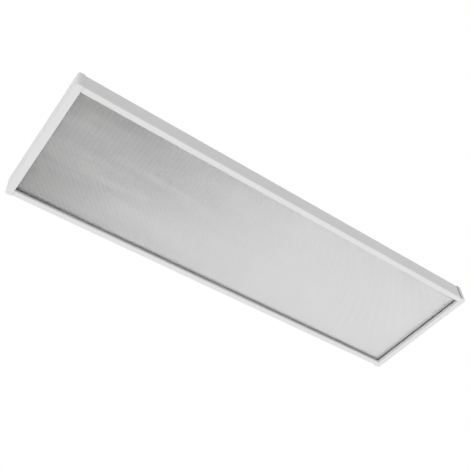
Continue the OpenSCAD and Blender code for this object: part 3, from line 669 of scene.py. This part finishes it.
def rod(start, end, radius, steps=24):
    line = Vector(end) - Vector(start)
    return lathe([(0, 0), (radius, 0), (radius, line.length), (0, line.length)], start, line, steps)


def block(low, high, edge=0.0, steps=2):
    """A box with its edges rounded."""
    shape = bmesh.new()
    bmesh.ops.create_cube(shape, size=1.0)
    low = Vector(low) * MM
    high = Vector(high) * MM
    for vert in shape.verts:
        vert.co = Vector([low[i] if vert.co[i] < 0 else high[i] for i in range(3)])
    if edge:
        bmesh.ops.bevel(shape, geom=shape.edges[:], offset=edge * MM, segments=steps, profile=0.5,
                        affect="EDGES", clamp_overlap=True)
    return from_bmesh(shape)


def tapered(half_x, half_y, low, high, taper):
    """A box about the Z axis that narrows downwards."""
    shape = bmesh.new()
    bmesh.ops.create_cube(shape, size=2.0)
    for vert in shape.verts:
        wide, z = (1.0, high) if vert.co.z > 0 else (taper, low)
        vert.co = Vector((vert.co.x * half_x * wide, vert.co.y * half_y * wide, z)) * MM
    return from_bmesh(shape)


def loft(rings):
    """A closed form through rings of as many points each, its end rings filled."""
    shape = bmesh.new()
    made = [[shape.verts.new(Vector(point) * MM) for point in ring] for ring in rings]
    for one, other in zip(made, made[1:]):
        for i in range(len(one)):
            j = (i + 1) % len(one)
            shape.faces.new((one[i], one[j], other[j], other[i]))
    shape.faces.new(made[0])
    shape.faces.new(made[-1])
    bmesh.ops.recalc_face_normals(shape, faces=shape.faces)
    return from_bmesh(shape)


def gather(meshes):
    """One mesh of several, which are used up."""
    shape = bmesh.new()
    for mesh in meshes:
        shape.from_mesh(mesh)
        bpy.data.meshes.remove(mesh)
    return from_bmesh(shape)


def mirrored(mesh):
    """A copy on the other side of the light's middle, its faces turned to point outwards."""
    copy = mesh.copy()
    copy.transform(Matrix.Scale(-1, 4, (1, 0, 0)))
    copy.flip_normals()
    return copy


def both_ends(mesh):
    return gather([mirrored(mesh), mesh])


def carved(mesh, cutters):
    """A form with others cut out of it."""
    host = add_object("carved", mesh)
    tools = [add_object("cutter", cutter) for cutter in cutters]
    for tool in tools:
        step = host.modifiers.new("cut", "BOOLEAN")
        step.operation = "DIFFERENCE"
        step.solver = "EXACT"
        step.object = tool
    made = settle(host)
    for tool in tools:
        bpy.data.objects.remove(tool)
    return made


def set_at(form_mesh, points, slot, hanging=False, spin=0.0, seed=1):
    """Repeats a form at points, upside down where it hangs, each spun by chance up to an angle."""
    base = bpy.data.meshes.new("places")
    base.from_pydata(points, [], [])
    form = add_object("form", form_mesh)
    lean = pi if hanging else 0.0
    made = grown(PLACES_TREE, {
        "Form": form, "Least turn": (lean, 0.0, 0.0), "Most turn": (lean, 0.0, spin), "Seed": seed,
        "Material": MATERIALS[slot]}, base)
    bpy.data.objects.remove(form)
    return made


def curve_through(points, steps):
    """The solids' own smooth curve through points, in so many steps between each two."""
    known = [Vector(point) for point in points]
    known = [2 * known[0] - known[1]] + known + [2 * known[-1] - known[-2]]
    made = []
    for a, b, c, d in zip(known, known[1:], known[2:], known[3:]):
        for i in range(steps):
            t = i / steps
            made.append(0.5 * (2 * b + (c - a) * t + (2 * a - 5 * b + 4 * c - d) * t ** 2
                               + (3 * b - a - 3 * c + d) * t ** 3))
    made.append(known[-2])
    return made


def tubes(paths, radius, node, sides=16, steps=8):
    """Round wires along smooth curves, given by points in millimetres, in a node's finish."""
    points = []
    edges = []
    for path in paths:
        smooth = [point * MM for point in curve_through(path, steps)]
        edges += [(len(points) + i, len(points) + i + 1) for i in range(len(smooth) - 1)]
        points += smooth
    base = bpy.data.meshes.new("path")
    base.from_pydata(points, edges, [])
    finish = MATERIALS[SLOT_OF[node]]
    made = grown(TUBE_TREE, {"Radius": radius * MM, "Sides": sides, "Material": finish}, base)
    shape = bmesh.new()
    shape.from_mesh(made)
    bpy.data.meshes.remove(made)
    bmesh.ops.remove_doubles(shape, verts=shape.verts, dist=WELD)
    bmesh.ops.recalc_face_normals(shape, faces=shape.faces)
    return from_bmesh(shape)


def stand_in_pair(name, right, node, moves=False):
    """The right-hand form and its mirror image, in the places of two nodes."""
    for side, mesh in (("left", mirrored(right)), ("right", right)):
        own = f"{node}_{side}"
        stand_in(f"{name}_{side}", mesh, own, own if moves else BODY)


def tops_of(node):
    """The middle of the top of each of a node's solids, where a form hangs."""
    return [((low.x + high.x) / 2, (low.y + high.y) / 2, high.z) for low, high in solid_boxes(node)]


# Screws and rivets
SCREW_HEAD_H = 2.4
SCREW_HEAD = [(3.4, 0.0), (3.6, 0.2), (3.6, 0.85), (3.38, 1.45), (2.8, 1.98), (1.9, 2.29), (0.95, 2.39),
              (0, 2.4)]
THREAD_START = 0.3
THREAD_TIP_R = 1.28
THREAD_R = 2.0
THREAD_CORE_R = 1.6
THREAD_PITCH = 0.8
RECESS_HALF_L = 1.8
RECESS_HALF_W = 0.45
RECESS_FLOOR = 1.0
RECESS_TAPER = 0.7
RIVET_HEAD_H = 1.2
RIVET_SHANK_R = 1.6
RIVET_HEAD = [(3.1, 0.0), (3.2, 0.12), (3.12, 0.42), (2.72, 0.78), (2.1, 1.05), (1.35, 1.2), (1.08, 1.12),
              (1.02, 0.62), (0.86, 0.5), (0.55, 0.62), (0, 0.66)]


def screw_form(shank):
    """Pan head screw, its head's underside at the origin and its thread below."""
    profile = [(0, -shank), (THREAD_TIP_R, -shank)]
    height = THREAD_START - shank
    while height < -THREAD_PITCH:
        profile += [(THREAD_CORE_R, height), (THREAD_R, height + THREAD_PITCH / 2)]
        height += THREAD_PITCH
    profile += [(THREAD_CORE_R, -0.2), (THREAD_R, 0.0)]
    recess = [tapered(half_x, half_y, RECESS_FLOOR, SCREW_HEAD_H + 1, RECESS_TAPER)
              for half_x, half_y in ((RECESS_HALF_L, RECESS_HALF_W), (RECESS_HALF_W, RECESS_HALF_L))]
    return carved(lathe(profile + SCREW_HEAD), recess)


def rivet_form(shank):
    """Blind rivet with its broken pin in the head, its head's underside at the origin."""
    tail = [(0, -shank), (RIVET_SHANK_R - 0.2, -shank), (RIVET_SHANK_R, 0.2 - shank), (RIVET_SHANK_R, 0.0)]
    return lathe(tail + RIVET_HEAD, steps=24)


def fit_fasteners(node, form, head_h, hanging, spin, seed):
    """Puts a screw or rivet where each of a node's own solids has its head."""
    places = []
    for low, high in solid_boxes(node):
        seat = low.z + head_h * MM if hanging else high.z - head_h * MM
        places.append(((low.x + high.x) / 2, (low.y + high.y) / 2, seat))
        shank = (high.z - low.z) / MM - head_h
    made = set_at(form(shank), places, SLOT_OF[node], hanging, spin, seed)
    stand_in(f"fitted_{node}", made, node)


SCREWS = ("end_cap_screws", "gear_box_screws", "driver_screws", "earth_screw", "tray_screws")
for number, node in enumerate(SCREWS):
    fit_fasteners(node, screw_form, SCREW_HEAD_H, node == "tray_screws", 2 * pi, number)
for node in ("bracket_rivets", "board_rivets", "end_reflector_rivets"):
    fit_fasteners(node, rivet_form, RIVET_HEAD_H, node != "bracket_rivets", 0.0, 1)

# LED packages: a white moulded frame round a phosphor window
LED_HALF = 2.5
LED_H = 0.8
WINDOW_HALF = 1.85
WINDOW_FLOOR = 0.55
LED_CORNERS = (0.2, 0.9, 0.2, 0.2)
WINDOW_CORNERS = (0.6, 0.6, 0.6, 0.6)
DRAFT = 0.08
# Rings of the phosphor: how far each stands in from the window's edge, and its height
WINDOW_RINGS = ((0.12, 0.45), (0.12, 0.6), (0.7, 0.72))


def cut_square(half, cuts, z):
    """A square's outline with its four corners cut off, anticlockwise from the lower right."""
    corners = ((1, -1), (1, 1), (-1, 1), (-1, -1))
    points = []
    for (sx, sy), cut in zip(corners, cuts):
        pair = [(sx * half, sy * (half - cut), z), (sx * (half - cut), sy * half, z)]
        points += pair if sx * sy > 0 else pair[::-1]
    return points


def make_leds():
    frame_form = loft([
        cut_square(LED_HALF, LED_CORNERS, 0), cut_square(LED_HALF - DRAFT, LED_CORNERS, LED_H),
        cut_square(WINDOW_HALF, WINDOW_CORNERS, LED_H),
        cut_square(WINDOW_HALF - DRAFT, WINDOW_CORNERS, WINDOW_FLOOR)])
    window_form = loft([cut_square(WINDOW_HALF - inset, WINDOW_CORNERS, z) for inset, z in WINDOW_RINGS])
    for name, form, slot in (("led_frames", frame_form, "white_nylon"),
                             ("led_windows", window_form, "led_phosphor")):
        made = set_at(form, tops_of("led_packages"), slot, hanging=True)
        stand_in(name, made, "led_packages", slot=slot)


make_leds()


# End reflectors: folded plates that lean out from the tray's end to the lip
REFLECTOR_T = 0.8
REFLECTOR_FOLD_R = 1.8
REFLECTOR_LINE = ((575.5, 47.3), (585.1, 47.3), (591.4, 12.9))
REFLECTOR_HALF_W = ((12.5, 155.2), (47.7, 130.2))


def folded_outline(line, thickness, radius, steps=6):
    """Outline in X and Z of a sheet with one fold, from its middle line."""
    start, corner, end = [Vector(point) for point in line]
    first = (corner - start).normalized()
    second = (end - corner).normalized()
    angle = first.angle(second)
    back = (radius - thickness / 2) * sin(angle / 2) / cos(angle / 2)
    points = [start]
    for t in [i / steps for i in range(steps + 1)]:
        points.append((1 - t) ** 2 * (corner - back * first) + 2 * t * (1 - t) * corner
                      + t ** 2 * (corner + back * second))
    points.append(end)
    sides = []
    for before, here, after in zip([start - first] + points[:-1], points, points[1:] + [end + second]):
        run = (after - before).normalized()
        sides.append((here, Vector((-run.y, run.x)) * thickness / 2))
    return [here + off for here, off in sides] + [here - off for here, off in reversed(sides)]


def make_end_reflectors():
    (low_z, low_w), (high_z, high_w) = REFLECTOR_HALF_W
    outline = folded_outline(REFLECTOR_LINE, REFLECTOR_T, REFLECTOR_FOLD_R)
    halves = [low_w + (high_w - low_w) * (point.y - low_z) / (high_z - low_z) for point in outline]
    right = loft([[(point.x, side * half, point.y) for point, half in zip(outline, halves)]
                  for side in (-1, 1)])
    stand_in_pair("leaning_end_reflector", right, "end_reflector")


make_end_reflectors()


# Connectors, splitters and grommets of the DC harness
CONNECTOR = 4.0
CONNECTOR_EDGE = 0.35
MOUTH_R = 1.35
MOUTH_DEPTH = 1.6
RELEASE_SLOT = ((-0.6, -1.1), (2.2, 1.1))
RELEASE_DEPTH = 0.5


def make_connectors():
    """Push-in connectors: a wire mouth towards the light's middle, and a release slot below."""
    size = CONNECTOR
    form = carved(block((-size, -size, 0), (size, size, size), CONNECTOR_EDGE),
                  [rod((-size - 1, 0, size / 2), (-size + MOUTH_DEPTH, 0, size / 2), MOUTH_R),
                   block((*RELEASE_SLOT[0], size - RELEASE_DEPTH), (*RELEASE_SLOT[1], size + 1))])
    places = [top for top in tops_of("board_connectors") if top[0] > 0]
    made = set_at(form, places, SLOT_OF["board_connectors"], hanging=True)
    stand_in("push_in_connectors", both_ends(made), "board_connectors")


# Routes of the harness, through the same points as the solids'
TRUNK = [(280, 0, 64.5), (282, 0, 64.5), (292, 0, 64.5), (303, 0, 61.5), (306, 0, 54.5), (306, 0, 49.5),
         (306, 0, 47.2), (302, 0, 42.7), (288, -4, 44.7), (274, -8, 44.7), (256, -8, 44.7), (153, -8, 44.7),
         (48, -8, 44.7)]
TRUNK_R = 2.5
BRANCH_R = 1.0
# Each row of boards: its place, how far off the trunk's line its branch starts, and the branch's lane
BRANCHES = ((-99, -1.5, 3), (-33, -4.5, 7), (33, 4.5, 7), (99, 1.5, 3))
SPLITTER_LOW = (28, -15, 41.7)
SPLITTER_HIGH = (48, -1, 47.7)
HARNESS_Y = -8
HARNESS_Z = 44.7
BRANCH_Z = 44.1


def branch_route(row_y, offset, lane):
    """Route of one branch, in its lane between the boards, and into its connector."""
    turn = 1 if row_y > 0 else -1
    start = HARNESS_Y + offset
    z = BRANCH_Z
    return [(28, start, HARNESS_Z), (27, start, HARNESS_Z), (26, start, HARNESS_Z), (lane + 12, start, z),
            (lane + 8, start, z), (lane, start + turn * 5, z), (lane, start + turn * 8, z),
            (lane, row_y - turn * 9, z), (lane, row_y - turn * 6, z), (lane + 2, row_y - turn * 1.5, z),
            (12, row_y, z), (13, row_y, z), (15.4, row_y, z)]


def make_harness():
    trunk = tubes([TRUNK], TRUNK_R, "led_harness_right", steps=10)
    branches = tubes([branch_route(*branch) for branch in BRANCHES], BRANCH_R, "led_harness_right", sides=10)
    stand_in_pair("harness_cable", gather([trunk, branches]), "led_harness")


TRUNK_COLLAR = [(0, 0), (3.5, 0), (3.5, 1.0), (3.1, 1.5), (0, 1.5)]
BRANCH_COLLAR = [(0, 0), (1.4, 0), (1.4, 0.7), (1.2, 0.9), (0, 0.9)]
# How deep a wire's collar is set into its case
COLLAR_SET = 0.2


def make_splitters():
    """Moulded splitters with a parting line and a collar round each wire."""
    low = Vector(SPLITTER_LOW)
    high = Vector(SPLITTER_HIGH)
    part = (low.z + high.z) / 2
    lower = block(low, (high.x, high.y, part - 0.1), 0.7, 3)
    upper = block((low.x, low.y, part + 0.1), high, 0.7, 3)
    inset = Vector((0.5, 0.5, 0.5))
    core = block(low + inset, high - inset)
    collars = [lathe(TRUNK_COLLAR, (high.x - COLLAR_SET, HARNESS_Y, HARNESS_Z), (1, 0, 0))]
    collars += [lathe(BRANCH_COLLAR, (low.x + COLLAR_SET, HARNESS_Y + offset, HARNESS_Z), (-1, 0, 0), 16)
                for _, offset, _ in BRANCHES]
    stand_in("moulded_splitters", both_ends(gather([lower, upper, core] + collars)), "harness_splitters")


GROMMET_PLACE = (306, 0, 47.7)
GROMMET = [(4.5, -1.0), (4.65, -1.35), (5.0, -1.5), (9.0, -1.5), (9.37, -1.35), (9.5, -1.0), (9.5, -0.3),
           (9.3, 0.0), (6.9, 0.0), (6.9, 2.8), (9.3, 2.8), (9.5, 3.1), (9.5, 3.8), (9.37, 4.15), (9.0, 4.3),
           (5.0, 4.3), (4.65, 4.15), (4.5, 3.8)]


def make_grommets():
    right = lathe(GROMMET, GROMMET_PLACE, steps=40, ring=True)
    stand_in("nylon_grommets", both_ends(right), "wire_grommets")


make_connectors()
make_harness()
make_splitters()
make_grommets()

# Drivers, terminal block and mains leads in the gear box
GEAR_FLOOR = 50.5
DRIVER_X = (80, 280)
DRIVER_HALF_W = 33
DRIVER_TOP = 78.5
DRIVER_CORNER = 3.0
DRIVER_LEAD_Z = 64.5
TAB_T = 1.5
TAB_L = 12
TAB_SCREW_Y = 10
LEADS_Y = (-7, 0, 7)
LEAD_R = 1.25
SCREW_HOLE_R = 2.1
LEAD_COLLAR = [(0, 0), (2.3, 0), (2.3, 0.8), (1.9, 1.2), (0, 1.2)]
CABLE_COLLAR = [(0, 0), (4, 0), (4, 1.2), (3.5, 1.6), (0, 1.6)]
# A driver's case towards each end: distance from the end, and how far it draws in there
CASE_STEPS = ((0, 0.9), (0.3, 0.25), (1, 0), (9, 0), (9, 0.6))


def case_outline(x, inset):
    """A driver's cross section with rounded corners, drawn in by an inset."""
    half = DRIVER_HALF_W - inset
    low = GEAR_FLOOR + inset
    high = DRIVER_TOP - inset
    r = DRIVER_CORNER
    corners = ((half - r, high - r), (r - half, high - r), (r - half, low + r), (half - r, low + r))
    points = []
    for turn, (y, z) in enumerate(corners):
        for i in range(7):
            angle = (turn + i / 6) * pi / 2
            points.append((x, y + r * cos(angle), z + r * sin(angle)))
    return points


def make_drivers():
    """A folded case between two slip-on ends, with a screw tab and wire collars at each end."""
    x0, x1 = DRIVER_X
    steps = [(x0 + off, inset) for off, inset in CASE_STEPS]
    steps += [(x1 - off, inset) for off, inset in reversed(CASE_STEPS)]
    parts = [loft([case_outline(x, inset) for x, inset in steps])]
    half = DRIVER_HALF_W / 2
    for low, screw_x, high in ((x0 - TAB_L, x0 - TAB_L / 2, x0 + 1), (x1 - 1, x1 + TAB_L / 2, x1 + TAB_L)):
        tab = block((low, -half, GEAR_FLOOR), (high, half, GEAR_FLOOR + TAB_T), 0.35)
        hole = [(screw_x, TAB_SCREW_Y, GEAR_FLOOR + z) for z in (-1, 3)]
        parts.append(carved(tab, [rod(*hole, SCREW_HOLE_R)]))
    parts += [lathe(LEAD_COLLAR, (x0 + COLLAR_SET, y, DRIVER_LEAD_Z), (-1, 0, 0), 20) for y in LEADS_Y]
    parts.append(lathe(CABLE_COLLAR, (x1 - COLLAR_SET, 0, DRIVER_LEAD_Z), (1, 0, 0)))
    stand_in_pair("driver_case", gather(parts), "driver")


BLOCK_HALF_L = 20
BLOCK_HALF_W = 12
BLOCK_TOP = 70.5
POLE_PITCH = 40 / 3
WELL_R = 2.4
WELL_FLOOR = 64.5
ENTRY_Z = 60.5
ENTRY_R = 1.8
ENTRY_DEPTH = 2.2
EARTH_ENTRY_Z = 57.5
BARRIER_HALF_W = 0.5
BARRIER_DEPTH = 1.6
CLAMP_SCREW = [(0, -1), (2.1, -1), (2.2, -0.8), (2.2, 0.9), (1.9, 1.25), (0, 1.3)]


def make_terminal_block():
    """Three poles between barriers, a clamp screw in each well and a mouth for each wire."""
    wells = [(i * POLE_PITCH, y) for i in (-1, 0, 1) for y in (-6, 6)]
    slots = [block((x - BARRIER_HALF_W, -BLOCK_HALF_W - 1, BLOCK_TOP - BARRIER_DEPTH),
                   (x + BARRIER_HALF_W, BLOCK_HALF_W + 1, BLOCK_TOP + 1))
             for x in (-POLE_PITCH / 2, POLE_PITCH / 2)]
    mouths = [rod((side * (BLOCK_HALF_L + 1), y, ENTRY_Z), (side * (BLOCK_HALF_L - ENTRY_DEPTH), y, ENTRY_Z),
                  ENTRY_R) for side in (-1, 1) for y in LEADS_Y]
    mouths.append(rod((0, BLOCK_HALF_W + 1, EARTH_ENTRY_Z), (0, BLOCK_HALF_W - ENTRY_DEPTH, EARTH_ENTRY_Z),
                      ENTRY_R))
    cutters = [gather([rod((x, y, WELL_FLOOR), (x, y, BLOCK_TOP + 1), WELL_R) for x, y in wells]),
               gather(slots), gather(mouths)]
    whole = block((-BLOCK_HALF_L, -BLOCK_HALF_W, GEAR_FLOOR), (BLOCK_HALF_L, BLOCK_HALF_W, BLOCK_TOP), 0.6, 3)
    stand_in("terminal_body", carved(whole, cutters), "terminal_block")
    head = carved(lathe(CLAMP_SCREW, steps=24), [block((-3, -0.35, 0.6), (3, 0.35, 2))])
    places = [Vector((x, y, WELL_FLOOR)) * MM for x, y in wells]
    screws = set_at(head, places, "zinc_steel", spin=2 * pi, seed=7)
    stand_in("terminal_screws", screws, "terminal_block", slot="zinc_steel")


# Route of the earth wire from the terminal block to its screw
EARTH_TAIL = [(0, 9.8, 57.5), (0, 16, 57.5), (0, 20, 57.5), (0, 28, 52.75), (0, 36.4, 51.75)]


def lead_route(y):
    """Route of a wire from the terminal block, in an arch, to a driver."""
    return [(17.8, y, ENTRY_Z), (24, y, ENTRY_Z), (28, y, ENTRY_Z), (50, 1.2 * y, 70.5),
            (72, y, DRIVER_LEAD_Z), (76, y, DRIVER_LEAD_Z), (80, y, DRIVER_LEAD_Z)]


def make_leads():
    for name, node, y in (("live_wires", "live_leads", -7), ("neutral_wires", "neutral_leads", 7)):
        stand_in(name, both_ends(tubes([lead_route(y)], LEAD_R, node)), node)
    earth = both_ends(tubes([lead_route(0)], LEAD_R, "earth_leads"))
    tail = tubes([EARTH_TAIL], LEAD_R, "earth_leads")
    stand_in("earth_wires", gather([earth, tail]), "earth_leads")


PLUG_PLACE = (321.2, -30, 67.5)
PLUG = [(0, 0.2), (10.1, 0.2), (10.1, -3.8), (10.4, -4.2), (10.7, -3.9), (11.0, -2.9), (10.7, -1.9),
        (10.7, 0), (13.4, 0), (13.6, 0.25), (13.45, 0.7), (12.8, 1.08), (12.1, 1.2), (9.4, 1.2), (8.6, 0.95),
        (8.2, 0.8), (0, 0.8)]


def make_plugs():
    stand_in("snap_in_plugs", both_ends(lathe(PLUG, PLUG_PLACE, (1, 0, 0), 48)), "hole_plugs")


make_drivers()
make_terminal_block()
make_leads()
make_plugs()

# Latches and hangers, which move
LATCH_X = 200
LATCH_Y = -45
LATCH_GAP = 0.04
CAM_Z = 82.2
CAM_R = 4
CAM_L = 14
CAM_T = 2
COVER_TOP = 86.5
LATCH_HEAD = [(0, LATCH_GAP), (8.7, LATCH_GAP), (9, 0.3), (9, 1.9), (8.75, 2.5), (8.2, 2.9), (7.6, 3.0),
              (6.4, 2.6), (0, 2.5)]
WING_HALF_L = 8
WING_HALF_W = 2
HANGER_FOOT = [(0, 0), (1.8, 0), (2.2, 0.6), (2.2, 15.4), (2.05, 15.8), (1.6, 16), (0, 16)]
HANGER_X = 460
PIVOT_Z = 60
HANGER_TILT = asin(8.2 / 96)
WIRE_R = 2.0
FOOT_Y = 54
FOOT_END = 68
FOOT_L = 16
LOOP_X = 87
LOOP_R = 9


def make_latches():
    """Quarter-turn latches: a finger wing on a round head, and the cam below it."""
    for side, body in ((-1, "cover_latch_left"), (1, "cover_latch_right")):
        x = side * LATCH_X
        z = COVER_TOP
        x0 = x - WING_HALF_L
        x1 = x + WING_HALF_L
        wing = carved(block((x0, LATCH_Y - WING_HALF_W, z + 1), (x1, LATCH_Y + WING_HALF_W, z + 10), 1.2, 4),
                      [rod((x0, LATCH_Y + y, z + 7), (x1, LATCH_Y + y, z + 7), 1.6) for y in (-3.1, 3.1)])
        parts = [wing, lathe(LATCH_HEAD, (x, LATCH_Y, z), steps=48),
                 lathe([(0, CAM_Z), (CAM_R - 0.3, CAM_Z), (CAM_R, CAM_Z + 0.3), (CAM_R, z + 1), (0, z + 1)],
                       (x, LATCH_Y, 0)),
                 block((x, LATCH_Y - CAM_R, CAM_Z), (x + CAM_L, LATCH_Y + CAM_R, CAM_Z + CAM_T), 0.6, 3)]
        stand_in(f"{body}_wing", gather(parts), body, body)


def make_hangers():
    """Bent wire hangers, each with a loop for the hook and two feet in its bracket's ears."""
    bend = [(0, -FOOT_Y, 0), (0, -51, 0), (2.5, -47.5, 0), (8, -45, 0)]
    loop = [(LOOP_X + LOOP_R * cos(radians(a)), LOOP_R * sin(radians(a)), 0) for a in range(-70, 71, 20)]
    route = bend + loop + [(x, -y, z) for x, y, z in reversed(bend)]
    wire = tubes([route], WIRE_R, "hanger_right", sides=24)
    feet = [lathe(HANGER_FOOT, (0, side * (FOOT_END - FOOT_L), 0), (0, side, 0)) for side in (-1, 1)]
    right = gather([wire] + feet)
    pivot = Matrix.Translation(Vector((HANGER_X, 0, PIVOT_Z)) * MM)
    right.transform(pivot @ Matrix.Rotation(HANGER_TILT, 4, "Y"))
    stand_in_pair("hanger_wire", right, "hanger", moves=True)


make_latches()
make_hangers()

# Light and ground
FLOOR_Z = -3.2
FLOOR_SIZE = 30.0
AMBIENT = 0.45
CHAMBER_LIGHT = 1.0
FLOOR_GLOW = 0.4
FLOOR_TONE = colour(0.88, 0.88, 0.88)


def background_levels(tree):
    """Two masks: a ray that met only clear or glossy surfaces, and one that entered the lamp chamber."""
    path = place(tree, "ShaderNodeLightPath").outputs
    direct = math("MAXIMUM", path["Is Camera Ray"], path["Is Glossy Ray"])
    clear = math("MAXIMUM", direct, path["Is Transmission Ray"])
    dull = math("GREATER_THAN", path["Diffuse Depth"], 0.5)
    seen = times(clear, math("SUBTRACT", 1.0, dull))
    return seen, times(path["Is Transmission Ray"], dull)


def make_world():
    """White behind the object, and a plain soft light from all round."""
    world = bpy.data.worlds.new("white_studio")
    world.use_nodes = True
    tree = world.node_tree
    light = tree.nodes["Background"].inputs
    light["Color"].default_value = colour(1.0, 1.0, 1.0)
    seen, entering = background_levels(tree)
    level = math("MULTIPLY_ADD", seen, 1.0 - AMBIENT, AMBIENT)
    feed(light["Strength"], math("MULTIPLY_ADD", entering, CHAMBER_LIGHT - AMBIENT, level))
    scene.world = world


def make_floor():
    """A pale floor far below the light."""
    bpy.ops.mesh.primitive_plane_add(size=FLOOR_SIZE, location=(0, 0, FLOOR_Z))
    floor = bpy.context.object
    floor.name = "floor"
    material, shader, where = start_material("pale_floor", Roughness=0.8, Specular_IOR_Level=0.2)
    tree = material.node_tree
    shade = spread(noise(where, 0.6, 3.0), *NOISE, 0.97)
    feed(shader["Base Color"], toned(shade, FLOOR_TONE))
    seen, entering = background_levels(tree)
    level = math("MULTIPLY_ADD", entering, CHAMBER_LIGHT - AMBIENT, times(seen, FLOOR_GLOW))
    glow = place(tree, "ShaderNodeEmission", {"Strength": level})
    dull = tree.nodes["Principled BSDF"]
    both = place(tree, "ShaderNodeAddShader", {0: dull.outputs[0], 1: glow.outputs[0]})
    feed(tree.nodes["Material Output"].inputs["Surface"], both.outputs[0])
    floor.data.materials.append(material)
    floor.visible_shadow = False


def make_lamp(name, comes_from, strength, spread_angle):
    """A far and very wide lamp, which lights every part alike."""
    data = bpy.data.lights.new(name, "SUN")
    data.energy = strength
    data.angle = spread_angle
    lamp = add_object(name, data)
    lamp.matrix_world = (-Vector(comes_from)).to_track_quat("-Z", "Y").to_matrix().to_4x4()
    lamp.visible_camera = False


make_world()
make_floor()
make_lamp("key_below", (-0.6, -0.13, -0.79), 1.63, radians(70))
make_lamp("top_fill", (0.35, 0.25, 0.9), 0.9, radians(40))

scene.view_settings.view_transform = "Standard"

# Light crosses many prism faces before it leaves the lens
PRISM_CROSSINGS = 32
for limit in ("max_bounces", "transmission_bounces", "glossy_bounces"):
    setattr(scene.cycles, limit, PRISM_CROSSINGS)
